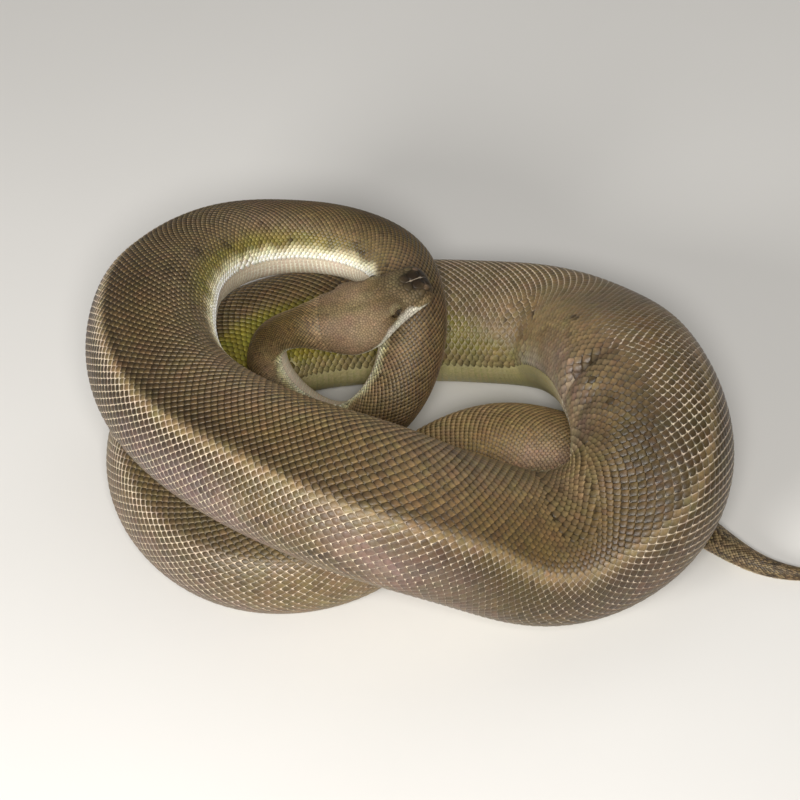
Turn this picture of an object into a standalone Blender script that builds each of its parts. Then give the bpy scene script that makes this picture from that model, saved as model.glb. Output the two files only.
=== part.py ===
"""A large plain-coloured python at rest in a loose double coil, life-size, with its head on its own body.

Built in metres with +Z up, the floor at z = 0 and the origin under the middle of the coils' box; the sizes
below are in millimetres. The whole animal is one tube swept from the tip of the snout to the tip of the tail
along a smooth route. A section of the body is wider than high, because its weight spreads it, and has a flat
underside where it lies on the floor. Thin cuts part the tube into the head, the neck, lengths of the trunk
and the tail.
"""
import math

import bmesh
import bpy
import numpy as np
from mathutils import Vector

MM = 0.001

# --- Driving sizes, in millimetres and degrees ------------------------------------------------
TIP = 2269.0              # snout to tip of tail, along the axis
HEAD_LENGTH = 72.0        # snout to nape
NECK_BLEND = (64.0, 92.0)  # distances between which the head's section turns into the body's
CUT = 0.3                 # width of the cut between two neighbouring pieces
SETTLE = 0.06             # share of its half-height by which a length is flattened on the floor
FLATTEN = 0.21            # how much lower than wide the thickest sections are
RIDGE = 0.045             # height of the ridge along the spine, as a share of the radius
RIDGE_ANGLE = 14.0        # half-angle of that ridge
HOLLOW = (0.045, 0.018)   # depth of the hollow beside the ridge, towards and away from the coils' middle
HOLLOW_PLACE = 37.0       # angle of the hollows from the spine
HOLLOW_ANGLE = 17.0       # half-angle of the hollows
HOLLOW_SPAN = (250.0, 600.0, 1949.0, 2069.0)  # distances over which the hollows come and go
RELAXATION = 290          # passes that spread the bends of the thickest lengths
THICKEST = 57.5           # half-width of those

EYE_RADIUS = 4.2
EYE_FROM_SNOUT = 34.5
EYE_ABOVE_AXIS = 7.2
EYE_SINK = 3.0            # depth of the eye's centre under the side of the head

GAPE = 56.0               # distance from the snout to the corner of the mouth
SNOUT_ROUND = 9.5         # length over which the snout rounds off to its tip

BEND_SMOOTHING = 25       # passes that spread a bend along the axis
SEGMENTS = 24             # sides of the body
HEAD_SEGMENTS = 32        # sides of the head
RING_SPAN = 0.75          # spacing of the rings as a share of the half-width, where the body is straight
RING_STEP = 9.0           # closest spacing of the rings

# The axis of the body, from snout to tail tip: x, y, and the height of the underside over the floor.
ROUTE = (
    ("snout", -26, 63, 129),
    ("brow", -50, 51, 124),
    ("nape", -88, 36, 114),
    ("neck top", -114, 41, 109),
    ("neck arch", -135, 48, 93),
    ("neck foot", -126, 39, 38),
    ("throat coil", -82, 24, 20),
    ("inner rise", -55, 28, 40),
    ("under chin", -37, 62, 70),
    ("crossing", -38, 86, 84),
    ("inner top", -47, 113, 88),
    ("far arc right", -70, 137, 86),
    ("far arc", -101, 150, 84),
    ("far arc left", -168, 142, 82),
    ("shoulder", -214, 74, 87),
    ("left arc", -206, -21, 88),
    ("front arc", -104, -108, 84),
    ("front strand", -64, -123, 79),
    ("front slope", 14, -117, 35),
    ("front foot", 52, -112, 19),
    ("right turn", 88, -102, 22),
    ("right rise", 114, -86, 39),
    ("right top", 126, -52, 54),
    ("right back", 119, 4, 57),
    ("right fall", 98, 74, 29),
    ("rear strand", 64, 120, 7),
    ("rear middle", 13, 134, 0),
    ("rear left", -90, 130, 0),
    ("left below", -144, 114, 0),
    ("left low arc", -209, 8, 0),
    ("left low turn", -194, -51, 0),
    ("front low turn", -151, -89, 0),
    ("inner low", -102, -89, 0),
    ("hip", 25, 14, 0),
    ("tail root", 71, 18, 0),
    ("tail", 183, -62, 0),
    ("tail end", 208, -78, 0),
    ("tail tip", 261, -84, 0),
)

# Half-width of the body at a distance from the snout.
GIRTH = (
    (0, 20.5),
    (72, 21.0),
    (88, 17.5),
    (104, 14.0),
    (120, 13.2),
    (145, 14.5),
    (178, 17.0),
    (240, 21.0),
    (360, 25.0),
    (460, 27.0),
    (530, 33.0),
    (570, 37.5),
    (620, 44.5),
    (700, 48.0),
    (800, 53.5),
    (900, 57.5),
    (960, 57.5),
    (1090, 56.5),
    (1190, 54.5),
    (1320, 49.0),
    (1490, 48.0),
    (1729, 45.0),
    (1839, 42.5),
    (1939, 38.0),
    (1994, 34.5),
    (2049, 26.5),
    (2099, 18.5),
    (2139, 13.2),
    (2174, 10.2),
    (TIP, 2.5),
)

# Lean of the spine from straight up towards the outside of the coils, which lie on their inner flank. The
# neck carries the head's upright spine round its arch, and twists into the coils' lean between two distances.
HEAD_ROLL = -15.0
NECK_TWIST = (130.0, 245.0)
ROLL = (
    (245, 105),
    (330, 62),
    (420, 47),
    (600, 45),
    (700, 41),
    (790, 37),
    (860, 42),
    (930, 48),
    (1010, 56),
    (1070, 48),
    (1130, 40),
    (1839, 44),
    (2089, 10),
    (TIP, 10),
)

# The head: distance from the snout, half-width, height of the crown and depth of the chin below the axis.
HEAD_FORM = (
    (0, 14.2, 7.6, 8.4),
    (9, 16.0, 9.2, 9.0),
    (20, 18.0, 11.0, 9.6),
    (30, 19.8, 12.4, 10.6),
    (42, 22.8, 14.0, 12.6),
    (53, 26.2, 15.6, 15.0),
    (61, 27.0, 16.8, 16.2),
    (72, 23.6, 18.0, 17.4),
    (92, 17.6, 17.4, 16.8),
)
HEAD_SQUARENESS = 2.5     # exponent of the head's section: 2 is an ellipse
CROWN_TAPER = 0.16        # how much narrower the head is at the crown than at the lips
HEAD_RINGS = (0.3, 1.1, 2.6, 5, 8, 12, 17, 22, 27, 32, 37, 43, 49, 54, 59, 65)

# Where each length behind the head ends.
LENGTHS = (
    ("neck_1", 126),
    ("neck_2", 180),
    ("trunk_01", 236),
    ("trunk_02", 298),
    ("trunk_03", 382),
    ("trunk_04", 472),
    ("trunk_05", 600),
    ("trunk_06", 762),
    ("trunk_07", 922),
    ("trunk_08", 1046),
    ("trunk_09", 1116),
    ("trunk_10", 1268),
    ("trunk_11", 1389),
    ("trunk_12", 1609),
    ("trunk_13", 1731),
    ("trunk_14", 1839),
    ("trunk_15", 1939),
    ("tail_1", 2081),
    ("tail_2", TIP),
)


# --- Curves -----------------------------------------------------------------------------------
def natural_cubic(points, step):
    """Points every step along the natural cubic spline through the given ones, spaced by chord length."""
    points = np.asarray(points, float)
    chords = np.linalg.norm(np.diff(points, axis=0), axis=1)
    knots = np.concatenate([[0.0], np.cumsum(chords)])
    count = len(points)
    matrix = np.eye(count)
    right = np.zeros_like(points)
    for i in range(1, count - 1):
        before, after = chords[i - 1], chords[i]
        matrix[i, i - 1:i + 2] = before, 2 * (before + after), after
        right[i] = 6 * ((points[i + 1] - points[i]) / after - (points[i] - points[i - 1]) / before)
    second = np.linalg.solve(matrix, right)
    where = np.linspace(0, knots[-1], int(knots[-1] / step) + 1)
    left = np.clip(np.searchsorted(knots, where, side="right") - 1, 0, count - 2)
    span = chords[left][:, None]
    to_end = (knots[left + 1] - where)[:, None]
    from_start = (where - knots[left])[:, None]
    bending = (second[left] * to_end ** 3 + second[left + 1] * from_start ** 3) / (6 * span)
    start_part = (points[left] / span - second[left] * span / 6) * to_end
    end_part = (points[left + 1] / span - second[left + 1] * span / 6) * from_start
    return bending + start_part + end_part


def through(stations, where, column=1):
    """A smooth curve through a table of stations that never overshoots them."""
    table = np.asarray(stations, float)
    x, y = table[:, 0], table[:, column]
    slope = np.diff(y) / np.diff(x)
    same_way = slope[:-1] * slope[1:] > 0
    total = np.where(same_way, slope[:-1] + slope[1:], 1.0)
    inner = np.where(same_way, 2 * slope[:-1] * slope[1:] / total, 0.0)
    tangent = np.concatenate([[slope[0]], inner, [slope[-1]]])
    where = np.clip(where, x[0], x[-1])
    i = np.clip(np.searchsorted(x, where, side="right") - 1, 0, len(x) - 2)
    span = x[i + 1] - x[i]
    t = (where - x[i]) / span
    rise = (1 + 2 * t) * (1 - t) ** 2 * y[i] + t * t * (3 - 2 * t) * y[i + 1]
    return rise + span * (t * (1 - t) ** 2 * tangent[i] - t * t * (1 - t) * tangent[i + 1])


def smoothstep(low, high, value):
    t = np.clip((value - low) / (high - low), 0, 1)
    return t * t * (3 - 2 * t)


def half_width(s):
    return through(GIRTH, s)


def half_height(s):
    a = half_width(s)
    return a * (1 - FLATTEN * (a / 60) ** 1.6)


# --- The axis of the body ---------------------------------------------------------------------
class Axis:
    """The body's axis every millimetre: its points, and its tail-ward, side, up and bend vectors."""

    def __init__(self):
        underside = natural_cubic([row[1:] for row in ROUTE], 1.0)
        steps = np.linalg.norm(np.diff(underside, axis=0), axis=1)
        self.s = np.concatenate([[0.0], np.cumsum(steps)])
        underside = self.relaxed(underside)
        height = (1 - SETTLE) * half_height(self.s) + underside[:, 2]
        self.point = np.column_stack([underside[:, :2], height])
        along = np.gradient(self.point, self.s, axis=0)
        self.along = along / np.linalg.norm(along, axis=1)[:, None]
        side = np.cross(self.along, [0.0, 0.0, 1.0])
        self.side = side / np.linalg.norm(side, axis=1)[:, None]
        self.up = np.cross(self.side, self.along)
        self.bend = self.smoothed(np.gradient(self.along, self.s, axis=0), BEND_SMOOTHING)
        self.spine = self.turned_spine()
        self.left = np.cross(self.along, self.spine)

    def relaxed(self, underside):
        """The route with its bends and its landings spread out, and more so where the body is thick."""
        underside = np.column_stack([underside[:, :2], np.maximum(underside[:, 2], 0)])
        share = 0.25 * (half_width(self.s)[1:-1, None] / THICKEST) ** 2
        for _ in range(RELAXATION):
            underside[1:-1] += share * (underside[2:] - 2 * underside[1:-1] + underside[:-2])
        return underside

    def leaning(self, roll, rows):
        """The direction of the spine at a lean from straight up, for the given samples."""
        roll = np.radians(roll)[..., None]
        return np.cos(roll) * self.up[rows] + np.sin(roll) * self.side[rows]

    def turned_spine(self):
        """The spine's direction: carried without twist along the neck, and leaning by ROLL in the coils."""
        carried = [self.leaning(np.array(HEAD_ROLL), 0)]
        for along in self.along[1:]:
            last = carried[-1] - (carried[-1] @ along) * along
            carried.append(last / np.linalg.norm(last))
        carried = np.array(carried)
        across = np.cross(self.along, carried)
        start, end = NECK_TWIST
        wanted = self.leaning(through(ROLL, self.s), slice(None))
        angle = np.arctan2((wanted * across).sum(1), (wanted * carried).sum(1))
        first = int(np.searchsorted(self.s, end))
        angle[first:] = np.unwrap(angle[first:])
        angle[:first] = angle[first] * smoothstep(start, end, self.s[:first])
        return np.cos(angle)[:, None] * carried + np.sin(angle)[:, None] * across

    @staticmethod
    def smoothed(rows, times):
        for _ in range(times):
            padded = np.concatenate([rows[:1], rows, rows[-1:]])
            rows = (padded[:-2] + 2 * rows + padded[2:]) / 4
        return rows

    def at(self, rows, s):
        return np.array([np.interp(s, self.s, column) for column in rows.T])

    def frame(self, s):
        """Centre, left, spine-ward, level and upward directions at a distance from the snout."""
        return [self.at(rows, s) for rows in (self.point, self.left, self.spine, self.side, self.up)]


AXIS = Axis()


# --- Sections ---------------------------------------------------------------------------------
def hump(angle, half_angle):
    return np.exp(-(angle / math.radians(half_angle)) ** 2)


def ridge_and_hollows(s, from_spine):
    """Share of the radius by which the ridge stands out and the hollows beside it sink."""
    comes, full, fades, gone = HOLLOW_SPAN
    span = smoothstep(comes, full, s) * (1 - smoothstep(fades, gone, s))
    place = math.radians(HOLLOW_PLACE)
    hollows = (HOLLOW[0] * hump(from_spine + place, HOLLOW_ANGLE)
               + HOLLOW[1] * hump(from_spine - place, HOLLOW_ANGLE))
    return RIDGE * hump(from_spine, RIDGE_ANGLE) - span * hollows


def body_section(s, phi, frame):
    """Offsets of the body's skin from its axis at the angles phi, counted from the spine to the left."""
    _, left, spine, side, up = frame
    outward = np.cos(phi)[:, None] * spine + np.sin(phi)[:, None] * left
    from_spine = (phi + math.pi) % (2 * math.pi) - math.pi
    reach = 1 + ridge_and_hollows(s, from_spine)
    wide = (outward @ side) * reach * half_width(s)
    high = (outward @ up) * reach * half_height(s)
    return wide[:, None] * side + high[:, None] * up


def snout_cap(s):
    """Share of its full section that the snout has at this distance from its tip."""
    t = min(s / SNOUT_ROUND, 1.0)
    return (1 - (1 - t) ** 2.4) ** (1 / 2.2)


def head_section(s, phi, frame):
    """The same offsets for the head, which is squarer, narrows to its crown and is rounded at the snout."""
    _, left, spine, _, _ = frame
    width, crown, chin = (through(HEAD_FORM, s, column) for column in (1, 2, 3))
    power = 2 / HEAD_SQUARENESS
    across = np.sign(np.sin(phi)) * np.abs(np.sin(phi)) ** power * width
    rise = np.sign(np.cos(phi)) * np.abs(np.cos(phi)) ** power
    across = across * (1 - CROWN_TAPER * np.maximum(rise, 0))
    rise = rise * np.where(rise > 0, crown, chin)
    return snout_cap(s) * (across[:, None] * left + rise[:, None] * spine)


def ease_into_bend(offset, bend):
    """Holds back the inner side of a tight bend, so that the tube never folds through itself."""
    tightness = np.linalg.norm(bend)
    inward = bend / max(tightness, 1e-9)
    into = offset @ inward
    crowding = np.maximum(into, 0) * tightness
    eased = np.where(into > 0, into / (1 + crowding ** 6) ** (1 / 6), into)
    return offset + (eased - into)[:, None] * inward


def ring(s, segments):
    """The outline of the skin at a distance from the snout, one point for each side of the tube."""
    phi = np.linspace(0, 2 * math.pi, segments, endpoint=False)
    frame = AXIS.frame(s)
    centre, up = frame[0], frame[4]
    body = float(smoothstep(*NECK_BLEND, s))
    offset = body * body_section(s, phi, frame) + (1 - body) * head_section(s, phi, frame)
    offset = ease_into_bend(offset, AXIS.at(AXIS.bend, s))
    below = np.minimum(centre[2] + offset[:, 2], 0)
    return centre + offset - (below / up[2])[:, None] * up


# --- Meshes -----------------------------------------------------------------------------------
def principled(name, colour, roughness, metallic=0.0):
    material = bpy.data.materials.get(name) or bpy.data.materials.new(name)
    material.use_nodes = True
    shader = material.node_tree.nodes["Principled BSDF"]
    shader.inputs["Base Color"].default_value = (*colour, 1.0)
    shader.inputs["Roughness"].default_value = roughness
    shader.inputs["Metallic"].default_value = metallic
    return material


def add_object(name, bm, material):
    bmesh.ops.recalc_face_normals(bm, faces=bm.faces)
    mesh = bpy.data.meshes.new(name)
    bm.to_mesh(mesh)
    bm.free()
    mesh.shade_smooth()
    mesh.set_sharp_from_angle(angle=math.radians(40))
    mesh.materials.append(material)
    obj = bpy.data.objects.new(name, mesh)
    bpy.context.scene.collection.objects.link(obj)
    return obj


def loft(rings):
    """A closed tube through rings of equal size. A ring of one point closes that end to a tip."""
    bm = bmesh.new()
    loops = [[bm.verts.new(Vector(point) * MM) for point in points] for points in rings]
    for here, there in zip(loops, loops[1:]):
        sides = max(len(here), len(there))
        for k in range(sides):
            corners = [(here, k), (here, k + 1), (there, k + 1), (there, k)]
            found = [loop[place % len(loop)] for loop, place in corners]
            bm.faces.new(list(dict.fromkeys(found)))
    for end in (loops[0], loops[-1]):
        if len(end) > 1:
            bm.faces.new(end)
    return bm


def hide_helper(obj):
    obj.hide_render = True
    obj.display_type = "WIRE"
    return obj


def boolean(obj, cutter, operation):
    modifier = obj.modifiers.new(cutter.name, "BOOLEAN")
    modifier.operation = operation
    modifier.solver = "EXACT"
    modifier.object = cutter


def ring_distances(start, end):
    """Distances of the rings from start to end, closer together where the body is thin or bends."""
    distances = [start]
    while distances[-1] < end:
        a = half_width(distances[-1])
        tightness = float(np.linalg.norm(AXIS.at(AXIS.bend, distances[-1])))
        distances.append(distances[-1] + max(RING_SPAN * a / (1 + a * tightness), RING_STEP))
    scale = (end - start) / (distances[-1] - start)
    return [start + (s - start) * scale for s in distances]


# --- Sub-parts --------------------------------------------------------------------------------
def whole_head(name, material):
    """The head with its mouth uncut and its eye sockets unmade."""
    tip = AXIS.at(AXIS.point, 0.0)[None, :]
    distances = [*HEAD_RINGS, HEAD_LENGTH - CUT / 2]
    return add_object(name, loft([tip] + [ring(s, HEAD_SEGMENTS) for s in distances]), material)


def mouth_line(s):
    """Height of the lips below the head's axis: it dips under the eye and again at the corner."""
    return -3.4 - 0.05 * s - 0.8 * math.sin(2 * math.pi * s / GAPE)


def jaw_region(name, grow, material):
    """The space below the mouth line and in front of the corner of the mouth, grown by a margin."""
    reach = 34.0
    rings = []
    for s in (*np.linspace(-6.0, GAPE - 2.0, 12), GAPE + grow):
        centre, left, spine, _, _ = AXIS.frame(max(s, 0.0))
        centre = centre + min(s, 0.0) * AXIS.at(AXIS.along, 0.0)
        top = mouth_line(max(s, 0.0)) + grow
        corners = ((-reach, -reach), (reach, -reach), (reach, top), (-reach, top))
        rings.append([centre + across * left + rise * spine for across, rise in corners])
    return hide_helper(add_object(name, loft(rings), material))


def eye_centre(sign):
    """Centre of the left (+1) or right (-1) eye, sunk under the side of the head."""
    centre, left, spine, _, _ = AXIS.frame(EYE_FROM_SNOUT)
    share = EYE_ABOVE_AXIS / through(HEAD_FORM, EYE_FROM_SNOUT, 2)
    width = through(HEAD_FORM, EYE_FROM_SNOUT) * (1 - CROWN_TAPER * share)
    side_reach = width * (1 - share ** HEAD_SQUARENESS) ** (1 / HEAD_SQUARENESS)
    return centre + sign * (side_reach - EYE_SINK) * left + EYE_ABOVE_AXIS * spine


def ball(name, centre, radius, material):
    bm = bmesh.new()
    bmesh.ops.create_uvsphere(bm, u_segments=16, v_segments=9, radius=radius * MM)
    obj = add_object(name, bm, material)
    obj.location = Vector(centre) * MM
    return obj


def build_head():
    """Upper head, lower jaw and two eyes."""
    skin = principled("head_skin", (0.30, 0.235, 0.145), 0.5)
    jaw_skin = principled("jaw_skin", (0.42, 0.36, 0.25), 0.5)
    eye = principled("eye", (0.03, 0.025, 0.018), 0.12)
    head = whole_head("head", skin)
    lower_jaw = whole_head("lower_jaw", jaw_skin)
    boolean(head, jaw_region("mouth_cutter", CUT, skin), "DIFFERENCE")
    boolean(lower_jaw, jaw_region("jaw_block", 0.0, skin), "INTERSECT")
    for name, sign in (("eye_left", 1), ("eye_right", -1)):
        centre = eye_centre(sign)
        ball(name, centre, EYE_RADIUS, eye)
        socket = hide_helper(ball(f"socket_{name}", centre, EYE_RADIUS + CUT, skin))
        boolean(head, socket, "DIFFERENCE")


def build_length(name, start, end, material):
    """One length of the body between two cuts. The last one runs out to the tip of the tail."""
    stop = end if end == TIP else end - CUT / 2
    rings = [ring(s, SEGMENTS) for s in ring_distances(start + CUT / 2, stop)]
    if end == TIP:
        tip = AXIS.at(AXIS.point, end) + half_width(end) * AXIS.at(AXIS.along, end)
        rings.append(tip[None, :])
    add_object(name, loft(rings), material)


def build_body():
    """Neck, trunk and tail, cut into lengths that each bend through less than about 75 degrees."""
    skin = principled("body_skin", (0.31, 0.235, 0.135), 0.5)
    start = HEAD_LENGTH
    for name, end in LENGTHS:
        build_length(name, start, end, skin)
        start = end


for old in list(bpy.data.objects):
    bpy.data.objects.remove(old, do_unlink=True)
build_head()
build_body()
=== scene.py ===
"""The looks of a plain-coloured python at rest in a loose double coil.

One skin, swept along the body's route, replaces the solid lengths. Over it lies a coat of overlapping
scales in solid mesh, wide scutes across the belly, and shields and small scales on the head.
"""
import math

import bpy
import numpy as np
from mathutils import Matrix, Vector
from mathutils.bvhtree import BVHTree


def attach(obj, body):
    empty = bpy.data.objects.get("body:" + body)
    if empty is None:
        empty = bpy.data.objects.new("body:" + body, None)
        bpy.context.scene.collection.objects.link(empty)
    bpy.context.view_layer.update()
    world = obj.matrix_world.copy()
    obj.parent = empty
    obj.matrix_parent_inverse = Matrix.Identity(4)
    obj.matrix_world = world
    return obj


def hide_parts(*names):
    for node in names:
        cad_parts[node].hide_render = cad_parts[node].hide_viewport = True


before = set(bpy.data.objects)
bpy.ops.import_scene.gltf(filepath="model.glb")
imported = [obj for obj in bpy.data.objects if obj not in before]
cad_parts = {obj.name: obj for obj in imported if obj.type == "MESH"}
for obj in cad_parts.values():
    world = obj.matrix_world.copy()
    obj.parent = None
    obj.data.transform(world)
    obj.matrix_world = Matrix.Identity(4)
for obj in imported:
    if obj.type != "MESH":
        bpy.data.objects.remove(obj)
MM = 0.001

# --- The body's sizes, in millimetres and degrees, as in the solid model ------------------------
TIP = 2269.0              # snout to tip of tail, along the axis
NECK_BLEND = (64.0, 92.0)  # distances between which the head's section turns into the body's
SETTLE = 0.06             # share of its half-height by which a length is flattened on the floor
FLATTEN = 0.21            # how much lower than wide the thickest sections are
RIDGE = 0.045             # height of the ridge along the spine, as a share of the radius
RIDGE_ANGLE = 14.0        # half-angle of that ridge
HOLLOW = (0.045, 0.018)   # depth of the hollow beside the ridge, towards and away from the coils' middle
HOLLOW_PLACE = 37.0       # angle of the hollows from the spine
HOLLOW_ANGLE = 17.0       # half-angle of the hollows
HOLLOW_SPAN = (250.0, 600.0, 1949.0, 2069.0)  # distances over which the hollows come and go
RELAXATION = 290          # passes that spread the bends of the thickest lengths
THICKEST = 57.5           # half-width of those

EYE_RADIUS = 4.2
EYE_FROM_SNOUT = 34.5
EYE_ABOVE_AXIS = 7.2

GAPE = 56.0               # distance from the snout to the corner of the mouth
SNOUT_ROUND = 9.5         # length over which the snout rounds off to its tip

BEND_SMOOTHING = 25       # passes that spread a bend along the axis

# The axis of the body, from snout to tail tip: x, y, and the height of the underside over the floor.
ROUTE = (
    ("snout", -26, 63, 129),
    ("brow", -50, 51, 124),
    ("nape", -88, 36, 114),
    ("neck top", -114, 41, 109),
    ("neck arch", -135, 48, 93),
    ("neck foot", -126, 39, 38),
    ("throat coil", -82, 24, 20),
    ("inner rise", -55, 28, 40),
    ("under chin", -37, 62, 70),
    ("crossing", -38, 86, 84),
    ("inner top", -47, 113, 88),
    ("far arc right", -70, 137, 86),
    ("far arc", -101, 150, 84),
    ("far arc left", -168, 142, 82),
    ("shoulder", -214, 74, 87),
    ("left arc", -206, -21, 88),
    ("front arc", -104, -108, 84),
    ("front strand", -64, -123, 79),
    ("front slope", 14, -117, 35),
    ("front foot", 52, -112, 19),
    ("right turn", 88, -102, 22),
    ("right rise", 114, -86, 39),
    ("right top", 126, -52, 54),
    ("right back", 119, 4, 57),
    ("right fall", 98, 74, 29),
    ("rear strand", 64, 120, 7),
    ("rear middle", 13, 134, 0),
    ("rear left", -90, 130, 0),
    ("left below", -144, 114, 0),
    ("left low arc", -209, 8, 0),
    ("left low turn", -194, -51, 0),
    ("front low turn", -151, -89, 0),
    ("inner low", -102, -89, 0),
    ("hip", 25, 14, 0),
    ("tail root", 71, 18, 0),
    ("tail", 183, -62, 0),
    ("tail end", 208, -78, 0),
    ("tail tip", 261, -84, 0),
)

# Half-width of the body at a distance from the snout.
GIRTH = ((0, 20.5), (72, 21.0), (88, 17.5), (104, 14.0), (120, 13.2), (145, 14.5), (178, 17.0), (240, 21.0),
         (360, 25.0), (460, 27.0), (530, 33.0), (570, 37.5), (620, 44.5), (700, 48.0), (800, 53.5),
         (900, 57.5), (960, 57.5), (1090, 56.5), (1190, 54.5), (1320, 49.0), (1490, 48.0), (1729, 45.0),
         (1839, 42.5), (1939, 38.0), (1994, 34.5), (2049, 26.5), (2099, 18.5), (2139, 13.2), (2174, 10.2),
         (TIP, 2.5))

# Lean of the spine from straight up towards the outside of the coils, which lie on their inner flank. The
# neck carries the head's upright spine round its arch, and twists into the coils' lean between two distances.
HEAD_ROLL = -15.0
NECK_TWIST = (130.0, 245.0)
ROLL = ((245, 105), (330, 62), (420, 47), (600, 45), (700, 41), (790, 37), (860, 42), (930, 48), (1010, 56),
        (1070, 48), (1130, 40), (1839, 44), (2089, 10), (TIP, 10))

# The head: distance from the snout, half-width, height of the crown and depth of the chin below the axis.
HEAD_FORM = ((0, 14.2, 7.6, 8.4), (9, 16.0, 9.2, 9.0), (20, 18.0, 11.0, 9.6), (30, 19.8, 12.4, 10.6),
             (42, 22.8, 14.0, 12.6), (53, 26.2, 15.6, 15.0), (61, 27.0, 16.8, 16.2), (72, 23.6, 18.0, 17.4),
             (92, 17.6, 17.4, 16.8))
HEAD_SQUARENESS = 2.5     # exponent of the head's section: 2 is an ellipse
CROWN_TAPER = 0.16        # how much narrower the head is at the crown than at the lips

# --- The coat and the head ----------------------------------------------------------------------
# Depth of the coat of scales over the skin.
COAT_DEPTH = ((0, 0.42), (70, 0.45), (140, 0.45), (400, 0.62), (800, 0.85), (1850, 0.8), (2060, 0.6),
              (TIP, 0.35))
FOLD_DEPTH = 1.1          # how deep the folds at the inner side of a tight bend are
FOLD_SPACING = 9.0
# Lumps and creases where the skin is pushed up in the right turn: distance, angle from the spine,
# half-length, half-width in degrees, height.
FOLDS = ((1177, -93, 3.8, 25, -5.0), (1190, -101, 8, 17, 3.2), (1162, -93, 8, 17, 3.2),
         (1145, -100, 5, 14, -2.2))
EYE_OUT = 14.11           # how far the eye's centre lies out from the head's middle plane
SOCKET_INNER = 3.6        # distances from the eye's centre between which the skin sinks round it
SOCKET_OUTER = 5.5
SOCKET_DEPTH = 2.3
BROW_LIFT = 2.8           # height of the brow that hoods the upper part of the eye
# Lumps and hollows of the cheeks: height, distance, half-length, level, half-height, and the widths
# between which they come in.
CHEEK_LUMPS = ((-0.9, 21, 6.0, 2.8, 3.0, 5, 10), (0.5, 15, 9.0, 6.8, 1.6, 6, 11),
               (0.9, 53, 10.0, 1.0, 7.0, 8, 14))
# Hollows of the crown: height, distance, half-length, out from the middle plane, half-width.
CROWN_LUMPS = ((-0.75, 55, 13.0, 0, 3.0), (-0.5, 43, 5.0, 9, 3.0), (-0.3, 10, 9.0, 0, 0.9))
NOSTRIL = (6.2, 7.6, 7.4)  # distance from the snout, out from the middle plane, above the axis
PLATE_GAP = 0.26           # width of the seams between the head's shields
VENTRAL_EDGE = math.radians(128)
BELLY_FADE = (math.radians(98), math.radians(118))
SCALE_PITCH = ((0, 2.4), (90, 2.4), (140, 2.6), (240, 3.3), (460, 4.2), (700, 5.4), (900, 5.6), (1500, 5.6),
               (1850, 5.3), (1950, 4.9), (2100, 3.6), (TIP, 2.2))
SCALES_START = 78.0
SCUTES_START = 84.0
TAIL_SCALES = 2072.0
# Small dark blotches on the flanks: distance from the snout, angle from the spine, radius.
BLOTCHES = ((576, -75, 5), (564, -84, 3), (539, -88, 6), (518, -100, 3), (399, -96, 5), (407, -88, 3),
            (430, -96, 3), (617, -75, 4), (628, -84, 3), (500, -97, 2), (470, -98, 3), (787, 40, 5),
            (825, 41, 6), (834, 50, 3), (859, 52, 5), (874, 57, 4), (1157, -86, 3), (1137, -74, 4),
            (1148, -66, 2), (1104, -76, 2), (1375, -70, 3), (1360, -82, 2), (770, 34, 2), (1176, -80, 3))
STRAYS = 40               # further ones, at random places
# Share by which the back is lighter or darker along the body: partly the snake's own tone, partly painted
# light and shade where the coils lie in light or in shade.
TONE_AND_SHADE = ((300, 1.0), (380, 0.84), (480, 0.68), (560, 0.58), (640, 0.49), (740, 0.57), (800, 0.74), (860, 0.80),
        (905, 1.08), (960, 1.00), (1030, 0.84), (1110, 0.50), (1150, 0.78), (1200, 1.18), (1260, 1.08),
        (1330, 0.96), (1450, 0.86), (1640, 0.60), (1760, 0.44), (1820, 0.72), (1880, 0.98), (1960, 1.85),
        (2060, 1.5))
REAR_COIL = (1150, 1240, 1600, 1680)  # distances over which the moss of the rear coil comes and goes
TAIL_FADE = (2030, 2100)              # distances over which the back turns into the speckled tail
FLOOR_GAP = 0.02                      # height of the lowest points over the floor
COAT_PIECES = 7
SIDE_ROWS = 28                        # rows of scales on each side of the spine
TAIL_SIDE_ROWS = 13
HEAD_COLUMNS = 192
HEAD_SKIN_END = 92.0
BODY_COLUMNS = 96
BODY_ROW_STEP = 4.4


def mouth_line(s):
    """Height of the lips below the head's axis: it dips under the eye and again at the corner."""
    return -3.4 - 0.05 * s - 0.8 * np.sin(2 * math.pi * s / GAPE)


# --- Curves -----------------------------------------------------------------------------------
def natural_cubic(points, step):
    """Points every step along the natural cubic spline through the given ones, spaced by chord length."""
    points = np.asarray(points, float)
    chords = np.linalg.norm(np.diff(points, axis=0), axis=1)
    knots = np.concatenate([[0.0], np.cumsum(chords)])
    count = len(points)
    matrix = np.eye(count)
    right = np.zeros_like(points)
    for i in range(1, count - 1):
        before, after = chords[i - 1], chords[i]
        matrix[i, i - 1:i + 2] = before, 2 * (before + after), after
        right[i] = 6 * ((points[i + 1] - points[i]) / after - (points[i] - points[i - 1]) / before)
    second = np.linalg.solve(matrix, right)
    where = np.linspace(0, knots[-1], int(knots[-1] / step) + 1)
    left = np.clip(np.searchsorted(knots, where, side="right") - 1, 0, count - 2)
    span = chords[left][:, None]
    to_end = (knots[left + 1] - where)[:, None]
    from_start = (where - knots[left])[:, None]
    bending = (second[left] * to_end ** 3 + second[left + 1] * from_start ** 3) / (6 * span)
    start_part = (points[left] / span - second[left] * span / 6) * to_end
    end_part = (points[left + 1] / span - second[left + 1] * span / 6) * from_start
    return bending + start_part + end_part


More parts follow.
